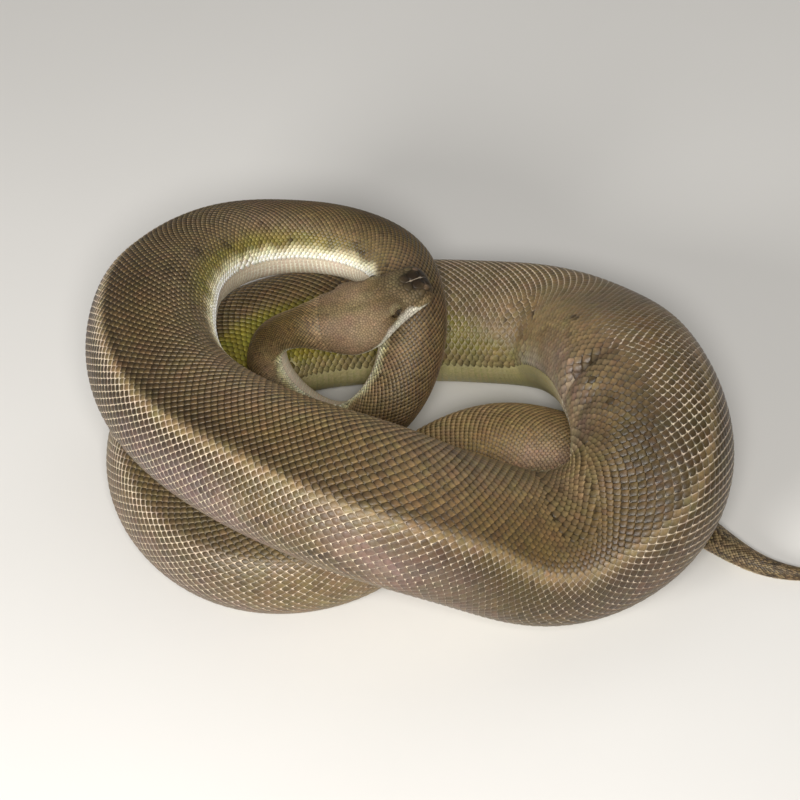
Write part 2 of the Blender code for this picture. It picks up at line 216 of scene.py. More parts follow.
def through(stations, where, column=1):
    """A smooth curve through a table of stations that never overshoots them."""
    table = np.asarray(stations, float)
    x, y = table[:, 0], table[:, column]
    slope = np.diff(y) / np.diff(x)
    same_way = slope[:-1] * slope[1:] > 0
    total = np.where(same_way, slope[:-1] + slope[1:], 1.0)
    inner = np.where(same_way, 2 * slope[:-1] * slope[1:] / total, 0.0)
    tangent = np.concatenate([[slope[0]], inner, [slope[-1]]])
    where = np.clip(where, x[0], x[-1])
    i = np.clip(np.searchsorted(x, where, side="right") - 1, 0, len(x) - 2)
    span = x[i + 1] - x[i]
    t = (where - x[i]) / span
    rise = (1 + 2 * t) * (1 - t) ** 2 * y[i] + t * t * (3 - 2 * t) * y[i + 1]
    return rise + span * (t * (1 - t) ** 2 * tangent[i] - t * t * (1 - t) * tangent[i + 1])


def smoothstep(low, high, value):
    t = np.clip((value - low) / (high - low), 0, 1)
    return t * t * (3 - 2 * t)


def between(s, comes, full, fades, gone):
    """Share that comes in between two distances from the snout and goes out between two more."""
    return smoothstep(comes, full, s) * (1 - smoothstep(fades, gone, s))


def half_width(s):
    return through(GIRTH, s)


def half_height(s):
    a = half_width(s)
    return a * (1 - FLATTEN * (a / 60) ** 1.6)


# --- The axis of the body ---------------------------------------------------------------------
class Axis:
    """The body's axis every millimetre: its points, and its tail-ward, side, up and bend vectors."""

    def __init__(self):
        underside = natural_cubic([row[1:] for row in ROUTE], 1.0)
        steps = np.linalg.norm(np.diff(underside, axis=0), axis=1)
        self.s = np.concatenate([[0.0], np.cumsum(steps)])
        underside = self.relaxed(underside)
        height = (1 - SETTLE) * half_height(self.s) + underside[:, 2]
        self.point = np.column_stack([underside[:, :2], height])
        along = np.gradient(self.point, self.s, axis=0)
        self.along = along / np.linalg.norm(along, axis=1)[:, None]
        side = np.cross(self.along, [0.0, 0.0, 1.0])
        self.side = side / np.linalg.norm(side, axis=1)[:, None]
        self.up = np.cross(self.side, self.along)
        self.bend = self.smoothed(np.gradient(self.along, self.s, axis=0), BEND_SMOOTHING)
        self.spine = self.turned_spine()
        self.left = np.cross(self.along, self.spine)

    def relaxed(self, underside):
        """The route with its bends and its landings spread out, and more so where the body is thick."""
        underside = np.column_stack([underside[:, :2], np.maximum(underside[:, 2], 0)])
        share = 0.25 * (half_width(self.s)[1:-1, None] / THICKEST) ** 2
        for _ in range(RELAXATION):
            underside[1:-1] += share * (underside[2:] - 2 * underside[1:-1] + underside[:-2])
        return underside

    def leaning(self, roll, rows):
        """The direction of the spine at a lean from straight up, for the given samples."""
        roll = np.radians(roll)[..., None]
        return np.cos(roll) * self.up[rows] + np.sin(roll) * self.side[rows]

    def turned_spine(self):
        """The spine's direction: carried without twist along the neck, and leaning by ROLL in the coils."""
        carried = [self.leaning(np.array(HEAD_ROLL), 0)]
        for along in self.along[1:]:
            last = carried[-1] - (carried[-1] @ along) * along
            carried.append(last / np.linalg.norm(last))
        carried = np.array(carried)
        across = np.cross(self.along, carried)
        start, end = NECK_TWIST
        wanted = self.leaning(through(ROLL, self.s), slice(None))
        angle = np.arctan2((wanted * across).sum(1), (wanted * carried).sum(1))
        first = int(np.searchsorted(self.s, end))
        angle[first:] = np.unwrap(angle[first:])
        angle[:first] = angle[first] * smoothstep(start, end, self.s[:first])
        return np.cos(angle)[:, None] * carried + np.sin(angle)[:, None] * across

    @staticmethod
    def smoothed(rows, times):
        for _ in range(times):
            padded = np.concatenate([rows[:1], rows, rows[-1:]])
            rows = (padded[:-2] + 2 * rows + padded[2:]) / 4
        return rows

    def at(self, s, *tables):
        """Points or directions of the axis at distances from the snout."""
        return [np.stack([np.interp(s, self.s, column) for column in rows.T], -1) for rows in tables]


AXIS = Axis()


# --- The skin as a surface ---------------------------------------------------------------------
def unit(rows):
    return rows / np.maximum(np.linalg.norm(rows, axis=-1, keepdims=True), 1e-9)


def bump(value, width):
    return np.exp(-(value / width) ** 2)


def ridge_and_hollows(s, phi):
    """Share of the radius by which the ridge stands out and the hollows beside it sink."""
    place, width = math.radians(HOLLOW_PLACE), math.radians(HOLLOW_ANGLE)
    hollows = HOLLOW[0] * bump(phi + place, width) + HOLLOW[1] * bump(phi - place, width)
    return RIDGE * bump(phi, math.radians(RIDGE_ANGLE)) - between(s, *HOLLOW_SPAN) * hollows


def body_offset(s, phi, left, spine, side, up):
    """Offsets of the body's section, with its ridge along the spine."""
    outward = np.cos(phi)[None, :, None] * spine[:, None] + np.sin(phi)[None, :, None] * left[:, None]
    reach = 1 + ridge_and_hollows(s[:, None], phi[None, :])
    wide = (outward * side[:, None]).sum(-1) * reach * half_width(s)[:, None]
    high = (outward * up[:, None]).sum(-1) * reach * half_height(s)[:, None]
    return wide[..., None] * side[:, None] + high[..., None] * up[:, None]


def head_offset(s, phi, left, spine):
    """Offsets of the head's squarer section, rounded off at the snout."""
    width, crown, chin = (through(HEAD_FORM, s, column)[:, None] for column in (1, 2, 3))
    power = 2 / HEAD_SQUARENESS
    across = np.sign(np.sin(phi)) * np.abs(np.sin(phi)) ** power * width
    rise = np.sign(np.cos(phi)) * np.abs(np.cos(phi)) ** power
    across = across * (1 - CROWN_TAPER * np.maximum(rise, 0))
    rise = rise * np.where(rise > 0, crown, chin)
    reach = np.minimum(s / SNOUT_ROUND, 1.0)
    cap = ((1 - (1 - reach) ** 2.4) ** (1 / 2.2))[:, None, None]
    return cap * (across[..., None] * left[:, None] + rise[..., None] * spine[:, None])


class Skin:
    """The animal's surface over distance from the snout and angle from the spine, in millimetres."""

    def __init__(self, s, columns, relief=None):
        self.s, self.phi = s, np.linspace(-math.pi, math.pi, columns + 1)
        centre, left, spine = AXIS.at(s, AXIS.point, AXIS.left, AXIS.spine)
        side, up, bend = AXIS.at(s, AXIS.side, AXIS.up, AXIS.bend)
        body = smoothstep(*NECK_BLEND, s)[:, None, None]
        offset = body * body_offset(s, self.phi, left, spine, side, up)
        offset = offset + (1 - body) * head_offset(s, self.phi, left, spine)
        tightness = np.linalg.norm(bend, axis=1)
        inward = bend / np.maximum(tightness, 1e-9)[:, None]
        into = (offset * inward[:, None]).sum(-1)
        crowding = np.maximum(into, 0) * tightness[:, None]
        self.crowding = into * tightness[:, None]
        eased = np.where(into > 0, into / (1 + crowding ** 6) ** (1 / 6), into)
        offset = offset + (eased - into)[..., None] * inward[:, None]
        below = np.minimum(centre[:, None, 2] + offset[..., 2], 0)
        self.points = centre[:, None] + offset - (below / up[:, 2:3])[..., None] * up[:, None]
        self.across = (offset * left[:, None]).sum(-1)
        self.rise = (offset * spine[:, None]).sum(-1)
        self.measure()
        if relief is not None:
            self.points = self.points + relief(self)[..., None] * self.normals
            self.measure()

    def measure(self):
        """Normals, and how far the surface runs for each unit of distance and of angle."""
        along = np.gradient(self.points, self.s, axis=0)
        wrapped = np.concatenate([self.points[:, -2:-1], self.points, self.points[:, 1:2]], axis=1)
        round_ = (wrapped[:, 2:] - wrapped[:, :-2]) / (2 * (self.phi[1] - self.phi[0]))
        self.normals = unit(np.cross(round_, along))
        middle = self.points[:, :-1].mean(1)
        if ((self.points - middle[:, None]) * self.normals).sum() < 0:
            self.normals = -self.normals
        self.along = np.linalg.norm(along, axis=-1)
        self.round = np.linalg.norm(round_, axis=-1)

    def place(self, s, phi):
        """Corners and weights that read a table between its rows and columns."""
        row = np.clip(np.searchsorted(self.s, s, side="right") - 1, 0, len(self.s) - 2)
        low, high = self.s[row], self.s[row + 1]
        down = np.clip((s - low) / (high - low), 0, 1)
        turns = (phi + math.pi) / (2 * math.pi) % 1.0 * (len(self.phi) - 1)
        column = np.minimum(turns.astype(int), len(self.phi) - 2)
        return row, column, down, turns - column

    def read(self, table, place):
        row, column, down, over = place
        if table.ndim == 3:
            down, over = down[..., None], over[..., None]
        near = table[row, column] * (1 - over) + table[row, column + 1] * over
        far = table[row + 1, column] * (1 - over) + table[row + 1, column + 1] * over
        return near * (1 - down) + far * down

    def lifted(self, s, phi, height):
        """Points at a height over the surface."""
        place = self.place(s, phi)
        return self.read(self.points, place) + height[..., None] * self.read(self.normals, place)


def body_relief(skin):
    """The skin under the scales, with the folds that a tight bend crowds up on its inner side."""
    s, phi = skin.s[:, None], skin.phi[None, :]
    crowded = smoothstep(0.62, 1.05, skin.crowding) * smoothstep(120, 200, s)
    waves = np.sin(2 * math.pi * s / FOLD_SPACING + 2.0 * np.sin(2 * phi + s / 31))
    lift = -through(COAT_DEPTH, s) - crowded * FOLD_DEPTH * (0.5 + 0.5 * waves)
    for at, angle, length, width, height in FOLDS:
        lift = lift + height * bump(s - at, length) * bump(phi - math.radians(angle), math.radians(width))
    return lift


def distance_from(spot, s, side, rise):
    """Distance over the head from a spot given by its length, width and height."""
    return np.sqrt((s - spot[0]) ** 2 + (side - spot[1]) ** 2 + (rise - spot[2]) ** 2)


def round_eye(s, side, rise):
    """Distance from the eye's centre, and the share of the brow that hoods the eye from above."""
    up = rise - EYE_ABOVE_AXIS
    brow = smoothstep(-1.3, -0.2, up - 0.9 * (side - EYE_OUT)) * bump(s - EYE_FROM_SNOUT, 6.6)
    brow = brow * bump(up - 3.2, 3.4)
    return distance_from((EYE_FROM_SNOUT, EYE_OUT, EYE_ABOVE_AXIS), s, side, rise), brow * (side > 4)


def head_relief(skin):
    """The head under its scales: sockets, brows, nostrils, cheeks and the line of the mouth."""
    s, side, rise = skin.s[:, None], np.abs(skin.across), skin.rise
    eye, brow = round_eye(s, side, rise)
    socket = (1 - smoothstep(SOCKET_INNER, SOCKET_OUTER, eye)) * (1 - smoothstep(0.1, 0.6, brow))
    lift = BROW_LIFT * brow + 0.35 * bump(eye - SOCKET_OUTER - 0.5, 0.9) * (1 - brow) * (side > 5)
    for height, at, length, level, tall, start, full in CHEEK_LUMPS:
        lift += height * bump(s - at, length) * bump(rise - level, tall) * smoothstep(start, full, side)
    for height, at, length, out, wide in CROWN_LUMPS:
        lift += height * bump(s - at, length) * bump(side - out, wide) * (rise > 0)
    nostril = distance_from(NOSTRIL, s, side, rise)
    lift += 0.35 * bump(nostril - 1.7, 0.7) - 1.6 * bump(nostril, 0.9)
    lips = rise - mouth_line(s)
    gape = 1 - smoothstep(GAPE - 5, GAPE + 2, s)
    lift += gape * (0.45 * bump(lips - 1.9, 1.2) - 0.9 * bump(lips + 0.2, 0.42))
    lift -= gape * 0.55 * smoothstep(0.0, -0.8, lips) * smoothstep(-6.0, -2.5, lips)
    return body_relief(skin) + (1 - smoothstep(*NECK_BLEND, s)) * (lift - SOCKET_DEPTH * socket)


# --- Markings ----------------------------------------------------------------------------------
def shade(red, green, blue):
    """A linear colour from its eight-bit screen values."""
    value = np.array([red, green, blue]) / 255
    return np.where(value <= 0.04045, value / 12.92, ((value + 0.055) / 1.055) ** 2.4)


OLIVE = shade(98, 79, 43)
BRONZE = shade(82, 64, 32)
TAN = shade(130, 111, 78)
MAUVE = shade(136, 112, 104)
UMBER = shade(40, 27, 11)
CREAM = shade(216, 207, 174)
IVORY = shade(238, 234, 214)
MOSS = shade(122, 115, 34)
ROSE = shade(142, 116, 94)
CROWN_LIGHT = shade(137, 119, 87)
CROWN_DARK = shade(98, 80, 53)
SEAM = shade(216, 199, 176)
CREVICE_SHADE = shade(66, 50, 30)
# Colour of the painted highlight on the scales' rear tips.
TIP_HIGHLIGHT = shade(176, 156, 118)
PALE_MOSS = 1.1 * MOSS + 0.3 * CREAM


def mixed(first, second, share):
    return first * (1 - share[..., None]) + second * share[..., None]


def waves(s, phi, size, seed):
    """Smooth seeded variation between about -1 and 1 over the skin, at one size in millimetres."""
    random = np.random.default_rng(seed)
    total = np.zeros(np.broadcast(s, phi).shape)
    for _ in range(5):
        length, start = size * random.uniform(0.7, 1.6), random.uniform(0, 2 * math.pi)
        turns, twist = random.integers(1, 5), random.uniform(0, 2 * math.pi)
        total += np.sin(2 * math.pi * s / length + start + 1.3 * np.sin(turns * phi + twist))
    return total / 2.6


def hollow_shade_share(s, phi):
    """Share of the painted shade in the hollow that runs along the inner side of the ridge."""
    span = between(s, 430, 540, 1040, 1110) * (1 - 0.55 * smoothstep(800, 900, s))
    reach = np.interp(s, (600, 700, 760, 850), (0.08, 0.12, 0.26, 0.14)) + 0.03 * waves(s, phi, 40, 21)
    return span * smoothstep(-0.02, -0.08, phi) * (1 - smoothstep(-reach, -reach - 0.12, phi))


def crowded_share(s, phi):
    """Share of the inner side of the second turn, where the skin is crowded together."""
    return between(s, 1060, 1120, 1240, 1310) * smoothstep(-1.0, -1.4, phi)


def outlined(s, phi):
    """How plainly pale lines edge the scales: on the outer flanks, the second turn and the rear coil."""
    inner = np.interp(s, (1070, 1130, 1180, 1240, 1330), (-0.2, -0.65, -1.0, -1.4, -1.9))
    turn = between(s, 1070, 1120, 1380, 1460) * smoothstep(inner - 0.25, inner + 0.1, phi)
    share = between(s, 380, 520, 1870, 1930) * np.maximum(smoothstep(-0.06, 0.10, phi), turn)
    return share * (1 - hollow_shade_share(s, phi)) * (1 - crowded_share(s, phi))


def shaded_inner_turn(s, phi):
    """The inner side of the right turn, where the belly is pressed in and its paleness is darkened by painted
    shade.
    """
    return between(s, 990, 1050, 1150, 1220) * (phi < 0)


def body_tint(s, phi):
    """Colour of the scales over the body, by distance from the snout and angle from the spine, with painted
    light and shade.
    """
    from_spine = np.abs(phi)
    cloud = 0.40 + 0.35 * waves(s, phi, 90, 3) + 0.30 * bump(from_spine, 0.5)
    colour = mixed(OLIVE, BRONZE, np.clip(cloud, 0, 1))
    # Painted shade: the coils' inner flank takes less of the pale tan than the outer flank.
    flank = smoothstep(math.radians(20), math.radians(85), from_spine) * np.where(phi > 0, 1.0, 0.70)
    colour = mixed(colour, TAN, 0.9 * flank)
    # Mauve as a little own tone all over the body, and on the outer flank as a painted lavender sheen.
    mauve_and_sheen = np.clip(0.55 + 0.5 * waves(s, phi, 170, 11), 0, 1) * smoothstep(95, 150, s)
    mauve_and_sheen = mauve_and_sheen * (0.12 + 0.80 * smoothstep(0.1, 0.7, phi) * (1 - 0.7 * between(s, 860, 940, 1620, 1720)))
    crowded = between(s, 1085, 1130, 1225, 1290) * smoothstep(-1.35, -1.85, phi)
    colour = mixed(colour, MAUVE, np.clip(np.maximum(mauve_and_sheen, 0.6 * crowded), 0, 0.9))
    # Painted shade darkens the crowded inner side of the second turn and the hollow beside the ridge.
    colour = colour * (1 - 0.25 * crowded[..., None]) * (1 - 0.36 * hollow_shade_share(s, phi)[..., None])
    colour = mixed(colour, TAN, 0.50 * smoothstep(1190, 1290, s))
    # Painted shade darkens the outer flank over the front of the coils, and near 915 a band of the inner
    # slope is painted lighter.
    under = 0.38 * smoothstep(0.55, 1.05, phi) * smoothstep(600, 700, s)
    under = np.maximum(under, 0.46 * smoothstep(0.05, 0.35, phi) * smoothstep(860, 910, s))
    outer = 0.42 * smoothstep(0.02, 0.25, phi) * between(s, 540, 600, 760, 830)
    under = np.maximum(under * (1 - smoothstep(1030, 1090, s)), outer)
    under = under - 0.35 * bump(phi + 0.47, 0.3) * bump(s - 915, 45)
    # The tone along the body, partly own tone and partly painted light and shade, and the painted shade of
    # the flanks scale the colour here.
    colour = colour * (through(TONE_AND_SHADE, s) * (1 - under))[..., None]
    # Painted highlight along the crest of the ridge.
    crest_highlight = between(s, 430, 540, 1190, 1260) * bump(phi - 0.04, 0.085)
    colour = mixed(colour, 1.15 * TAN, 0.55 * crest_highlight)
    # Painted shadow in the creases of the right turn.
    crease_shadow = bump(s - 1177, 5.0) * bump(phi + 1.62, 0.5) + 0.6 * bump(s - 1146, 5) * bump(phi + 1.74, 0.3)
    colour = colour * (1 - 0.8 * np.clip(crease_shadow, 0, 1)[..., None])
    upper = np.interp(s, (1250, 1330, 1400, 1430), (112, 100, 60, 40))
    lower = smoothstep(np.radians(upper), np.radians(upper + 22), from_spine) * (phi < 0)
    moss = np.maximum(between(s, 1385, 1420, 1640, 1760), 0.75 * between(s, 1270, 1400, 1640, 1760)) * lower
    rim = 0.50 * bump(from_spine - math.radians(98), 0.28) * between(s, 380, 440, 600, 660) * (phi < 0)
    throat = 0.6 * smoothstep(1.7, 2.0, from_spine) * between(s, 100, 130, 300, 360)
    moss = np.maximum(np.maximum(moss, rim), throat)
    colour = mixed(colour, MOSS, np.clip(moss, 0, 0.92))
    belly = smoothstep(*BELLY_FADE, from_spine + 0.05 * waves(s, phi, 30, 5))
    pale = mixed(CREAM, IVORY, smoothstep(math.radians(108), math.radians(126), from_spine))
    pale = mixed(pale, MOSS, np.clip(0.8 * moss + 0.7 * between(s, 1240, 1330, 1560, 1640), 0, 0.85))
    pale = mixed(pale, MAUVE, 0.8 * crowded)
    pale = mixed(pale, 0.8 * TAN, 0.6 * between(s, 1150, 1220, 1640, 1760))
    # Painted shade darkens the belly on the inner side of the right turn.
    pale = mixed(pale, 0.7 * TAN, 0.85 * shaded_inner_turn(s, phi))
    colour = mixed(colour, pale, belly)
    speckled = mixed(0.55 * UMBER, BRONZE, np.clip(0.30 + 0.3 * waves(s, phi, 30, 41), 0, 1))
    return mixed(colour, speckled, 0.93 * smoothstep(*TAIL_FADE, s) * (1 - 0.7 * belly))


def blotches(s, phi, random):
    """How dark each scale is in the small ragged blotches along the flanks."""
    others = np.random.default_rng(61)
    spread = np.column_stack([others.uniform(300, 1950, STRAYS),
                              others.choice([-1, 1], STRAYS) * others.uniform(58, 100, STRAYS),
                              others.uniform(1.5, 4.0, STRAYS)])
    dark = np.zeros(s.shape)
    for at, angle, size in np.concatenate([np.array(BLOTCHES, float), spread]):
        away = np.hypot((s - at) / 1.5, (phi - math.radians(angle)) * half_width(s))
        dark = np.maximum(dark, bump(away, size))
    return np.clip(dark * random.uniform(0.3, 1.5, s.shape), 0, 1)


def head_tint(s, across, rise):
    """Colour of the head's scales: olive-tan above, rosy over the jaw muscles, cream on the lips."""
    side = np.abs(across)
    cells = waves(s, across / 9, 26, 51)
    colour = mixed(CROWN_LIGHT, CROWN_DARK, np.clip(0.40 + 0.4 * cells, 0, 1))
    rosy = smoothstep(38, 54, s) * smoothstep(2, 9, side) * smoothstep(-6, 2, rise)
    colour = mixed(colour, ROSE, 0.5 * rosy)
    # The snout's top is dark brown, partly its own colour and partly painted shade, and the upper head
    # darkens towards it too.
    dark = (1 - smoothstep(15, 29, s + 0.3 * side)) * smoothstep(3.0, 6.5, rise)
    dark = dark * (1 - 0.55 * smoothstep(5, 10.5, side))
    colour = colour * (1 - 0.3 * smoothstep(42, 20, s) * smoothstep(2.0, 6.0, rise))[..., None]
    colour = mixed(colour, 0.6 * UMBER, 0.96 * dark)
    reach = np.interp(s, (0, 8, 16, 23, 32, 44, 52, 66), (1.3, 2.2, 5.0, 10.2, 10.4, 8.6, 4.6, 1.6))
    pale = 1 - smoothstep(0.72 * reach, 1.12 * reach, rise - mouth_line(s) + 0.5 * cells)
    colour = mixed(colour, 0.93 * IVORY, 0.8 * pale)
    away, brow = round_eye(s, side, rise)
    lid = bump(away - 3.9, 1.3) * smoothstep(0.2, 0.8, brow)
    colour = mixed(colour, 1.2 * ROSE, 0.5 * bump(distance_from(NOSTRIL, s, side, rise) - 1.2, 0.8))
    return mixed(colour, 0.4 * CREAM + 0.5 * MOSS, 0.30 * lid)


def any_tint(skin, s, phi):
    """Head and body colours, blended over the nape."""
    place = skin.place(s, phi)
    head = head_tint(s, skin.read(skin.across, place), skin.read(skin.rise, place))
    return mixed(head, body_tint(s, phi), smoothstep(NECK_BLEND[0] + 2, NECK_BLEND[1] + 4, s))


# --- Meshes ------------------------------------------------------------------------------------
def mesh_piece(name, points, faces, tint, material, bake=None):
    """A smooth coloured mesh just off the floor, from arrays of faces with equal numbers of corners."""
    points = points.reshape(-1, 3)
    points[:, 2] = np.maximum(points[:, 2], FLOOR_GAP)
    sizes = np.concatenate([np.full(len(part), part.shape[1]) for part in faces])
    corners = np.concatenate([part.ravel() for part in faces]).astype(np.int32)
    mesh = bpy.data.meshes.new(name)
    mesh.vertices.add(len(points))
    mesh.vertices.foreach_set("co", (points * MM).astype(np.float32).ravel())
    mesh.loops.add(len(corners))
    mesh.loops.foreach_set("vertex_index", corners)
    mesh.polygons.add(len(sizes))
    mesh.polygons.foreach_set("loop_start", np.concatenate([[0], np.cumsum(sizes)[:-1]]).astype(np.int32))
    mesh.update(calc_edges=True)
    mesh.shade_smooth()
    colours = np.ones((len(points), 4), np.float32)
    colours[:, :3] = np.clip(tint.reshape(-1, 3), 0.002, 0.95)
    mesh.color_attributes.new("Tint", "FLOAT_COLOR", "POINT").data.foreach_set("color", colours.ravel())
    if bake is not None:
        layer = mesh.uv_layers.new(name="OFBake")
        layer.uv.foreach_set("vector", bake.reshape(-1, 2)[corners].astype(np.float32).ravel())
    mesh.materials.append(material)
    piece = bpy.data.objects.new(name, mesh)
    bpy.context.scene.collection.objects.link(piece)
    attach(piece, "root")
    return piece


def grid_faces(rows, columns):
    """Quads between the points of a grid."""
    index = np.arange(rows * columns).reshape(rows, columns)
    return np.stack([index[:-1, :-1], index[:-1, 1:], index[1:, 1:], index[1:, :-1]], -1).reshape(-1, 4)


def plate_faces(count, corners):
    """Faces of many plates: a fan round the middle, two rings and a skirt, all closed but below."""
    k = np.arange(corners)
    following = (k + 1) % corners
    fan = np.column_stack([np.zeros(corners, int), 1 + k, 1 + following])
    ring = np.column_stack([1 + k, 1 + corners + k, 1 + corners + following, 1 + following])
    shift = (np.arange(count) * (1 + 3 * corners))[:, None, None]
    quads = np.concatenate([ring, ring + corners])
    return [(fan[None] + shift).reshape(-1, 3), (quads[None] + shift).reshape(-1, 4)]


def bake_places(s, phi, first, last, local):
    """Patches 0.003 across on an unwrap of the skin, one for each plate, at its root's place."""
    over = 0.02 + 0.96 * (s - first) / (last - first)
    up = 0.02 + 0.96 * (phi + math.pi) / (2 * math.pi)
    return np.stack([over, up], -1)[:, None] + 0.0015 * local


# Outline of a body scale, in shares of the spacing along the body and across it: a rounded lozenge.
OUTLINE = np.array([(0.52, 0.0), (0.43, -0.20), (0.22, -0.60), (0.02, -0.88), (-0.16, -0.80), (-0.50, 0.0),
                    (-0.16, 0.80), (0.02, 0.88), (0.22, 0.60), (0.43, 0.20)])
SQUEEZED = 0.62            # stretch along the body under which every other row of scales is missing
RIM = (0.72, 0.75)


def row_reach(share):
    """How far round from the spine a row lies: the rows are narrow on the back and wide on the flanks."""
    return 0.82 * share + 0.18 * np.abs(share) ** 2.5


def scale_rows(skin, sides, first, last):
    """Centres of the body's scales on their diamond lattice, with the spacings there."""
    half, step, reach = len(skin.phi) // 2, skin.phi[1] - skin.phi[0], sides + 0.55
    table = {}
    for sign in (1, -1):
        arc = skin.round[:, half:] if sign == 1 else skin.round[:, half::-1]
        length = np.concatenate([np.zeros((len(arc), 1)),
                                 np.cumsum((arc[:, 1:] + arc[:, :-1]) / 2 * step, axis=1)], axis=1)
        angle = np.arange(length.shape[1]) * step
        edge = np.array([np.interp(VENTRAL_EDGE, angle, row) for row in length])
        for j in range(sides + 1):
            wanted = edge * row_reach(j / reach)
            table[sign * j] = sign * np.array([np.interp(w, row, angle) for w, row in zip(wanted, length)])
    stations = [first]
    while stations[-1] < last:
        stations.append(stations[-1] + float(through(SCALE_PITCH, np.array(stations[-1]))))
    stations = np.array(stations)
    centres = []
    for j in range(-sides, sides + 1):
        shift = 0.5 * (j % 2)
        at = stations + shift * through(SCALE_PITCH, stations)
        at = at[at < last]
        pitch = through(SCALE_PITCH, at)
        squeezed = skin.read(skin.along, skin.place(at, np.interp(at, skin.s, table[j]))) < SQUEEZED
        at, pitch = at + squeezed * shift * pitch, pitch * (1 + squeezed)
        kept = ~squeezed | (np.arange(len(at)) % 2 == 0)
        at, pitch = at[kept], pitch[kept]
        width = np.interp(at, skin.s, edge / reach) * (0.82 + 0.45 * (abs(j) / reach) ** 1.5)
        centres.append(np.column_stack([at, np.interp(at, skin.s, table[j]), width, pitch]))
    return np.concatenate(centres), stations


def net_share(s, phi, stretch):
    """How far the pale skin shows between the scales: where it is stretched, and along the outer flank."""
    lines = outlined(s, phi)
    fine = 0.18 * between(s, 230, 300, 400, 560)
    shown = smoothstep(1.0, 1.30, stretch + 0.45 * lines + fine) * (0.25 + 0.75 * lines)
    return shown * (1 - hollow_shade_share(s, phi)) * (1 - crowded_share(s, phi))


def body_scales(name, skin, centres, first, last, material, seed):
    """One length of the coat: overlapping plates, each rooted in the skin and raised at its rear."""
    random = np.random.default_rng(seed)
    s, phi, across, pitch = centres.T[..., None]
    place, usual, count = skin.place(s, phi), through(SCALE_PITCH, s), len(s)
    stretch, turn = skin.read(skin.along, place) * pitch / usual, skin.read(skin.round, place)
    net, lines = net_share(s, phi, stretch), outlined(s, phi)
    cover = np.clip(1.17 / np.maximum(stretch, 0.3) ** 0.75, 0.97, 1.7)
    cover = cover - lines * np.maximum(cover - 1.0, 0) * 0.6 - 0.02 * net
    cover = cover * (1 + 0.12 * (pitch > 1.5 * usual))
    grown, swing = random.normal(1.0, 0.025, (count, 1)), random.normal(0.0, 0.03, (count, 1))
    # Painted highlight: where this share is full, the pale lines stay on the scale edges that face the light
    # and fade on the others.
    lit_edge_lines = smoothstep(0.12, 0.40, phi) * (1 - between(s, 1060, 1100, 1640, 1700))
    shape = np.broadcast_to(OUTLINE, (count, *OUTLINE.shape)).copy()
    shape[..., 0] = np.where(shape[..., 0] > 0, shape[..., 0] * cover, shape[..., 0])
    shape = shape * (0.995 - 0.045 * (lines * (0.85 - 0.35 * lit_edge_lines))[..., None])
    shape = np.stack([shape[..., 0] - swing * shape[..., 1], shape[..., 1] + swing * shape[..., 0]], -1)
    size = np.minimum(usual * np.clip(stretch, 0.5, 1.3), 1.5 * across)
    lean = size * (0.22 - 0.13 * net)
    beads = between(s, 1850, 1930, 2030, 2080)
    dome = size * (1 + 1.1 * beads) * (np.array([0.12, 0.072, 0.0]) - net * np.array([0.02, 0.01, 0.0]))
    rim = (RIM[0] + (RIM[1] - RIM[0]) * lines)[..., None]
    points = []
    for k, spread in enumerate((shape[:, :1] * 0, shape * rim, shape)):
        u, v = spread[..., 0] * grown, spread[..., 1] * grown
        height = -0.02 * size + (u + 0.30) * lean + dome[:, k:k + 1]
        points.append(skin.lifted(s + u * pitch, phi + v * across / turn, height))
    points.append(skin.lifted(s + 0.99 * u * pitch, phi + 0.99 * v * across / turn,
                              np.broadcast_to(-0.06 * size - 0.06, u.shape)))
    small = 1 - smoothstep(280, 440, s)
    own = np.maximum(random.normal(1.0, 1.0, s.shape) * (0.11 + 0.09 * small) + 0.89 - 0.09 * small, 0.4)
    own = any_tint(skin, s, phi) * own[..., None] * (1 + random.normal(0.0, 0.02, (count, 3)))[:, None]
    spotted = blotches(s, phi, random)
    own = mixed(own, UMBER, 0.74 * spotted)
    speckle = (random.uniform(0, 1, s.shape) < 0.45) * smoothstep(*TAIL_FADE, s)
    own = mixed(own, TAN, 0.55 * speckle)
    flat = np.concatenate([OUTLINE[:1] * 0, OUTLINE * RIM[1], OUTLINE, OUTLINE])
    edge = np.repeat([0.0, 1.0], [1 + len(OUTLINE), 2 * len(OUTLINE)])
    rear = np.clip(flat[:, 0] / OUTLINE[0, 0], -1, 1)
    # Painted shadow along the front edges, where each scale comes out from under the ones before it.
    tucked_shadow = smoothstep(0.30, -0.30, rear) * edge * (1 - 0.5 * lines)
    # Painted highlight on the free rear tip of each scale.
    tip = smoothstep(0.25, 0.95, rear) * (0.45 + 0.55 * edge) * (0.66 - 0.55 * lines * (1 - spotted))
    line = edge * smoothstep(-0.45, 0.1, rear) * (0.95 * lines * (1 - 0.6 * spotted))
    # Painted light: the lines fade on the edges turned away from the light.
    line = line * (1 - 0.75 * lit_edge_lines * (1 - smoothstep(-0.25, 0.25, flat[:, 1])))
    # Painted shade and light: each scale darkens towards its front, under the one before, and lightens
    # towards its rear.
    slope = np.where(rear > 0, 0.42, 1.0) * (1 + 0.6 * small) * rear * (1 - 0.6 * lines)
    tint = own * np.maximum(1.0 + slope, 0.05)[..., None]
    tint = mixed(tint, TIP_HIGHLIGHT * 0.20 + 2.1 * own, tip)
    # Painted shade on the front edges and round the domed scales of the hip.
    tint = mixed(tint, 0.18 * own, np.maximum(0.9 * tucked_shadow, 0.7 * edge * beads))
    tint = mixed(tint, SEAM * 0.85 + 0.25 * own, line)
    # Painted shade on the skirts under the scales' edges, deeper round the domed scales of the hip.
    tint[:, -len(OUTLINE):] *= ((0.45 + 0.45 * lines) * (1 - 0.6 * beads))[..., None]
    bake = bake_places(s[:, 0], phi[:, 0], first, last, flat / OUTLINE.max(0))
    points = np.concatenate(points, axis=1)
    piece = mesh_piece(name, points, plate_faces(count, len(OUTLINE)), tint, material, bake)
    return piece


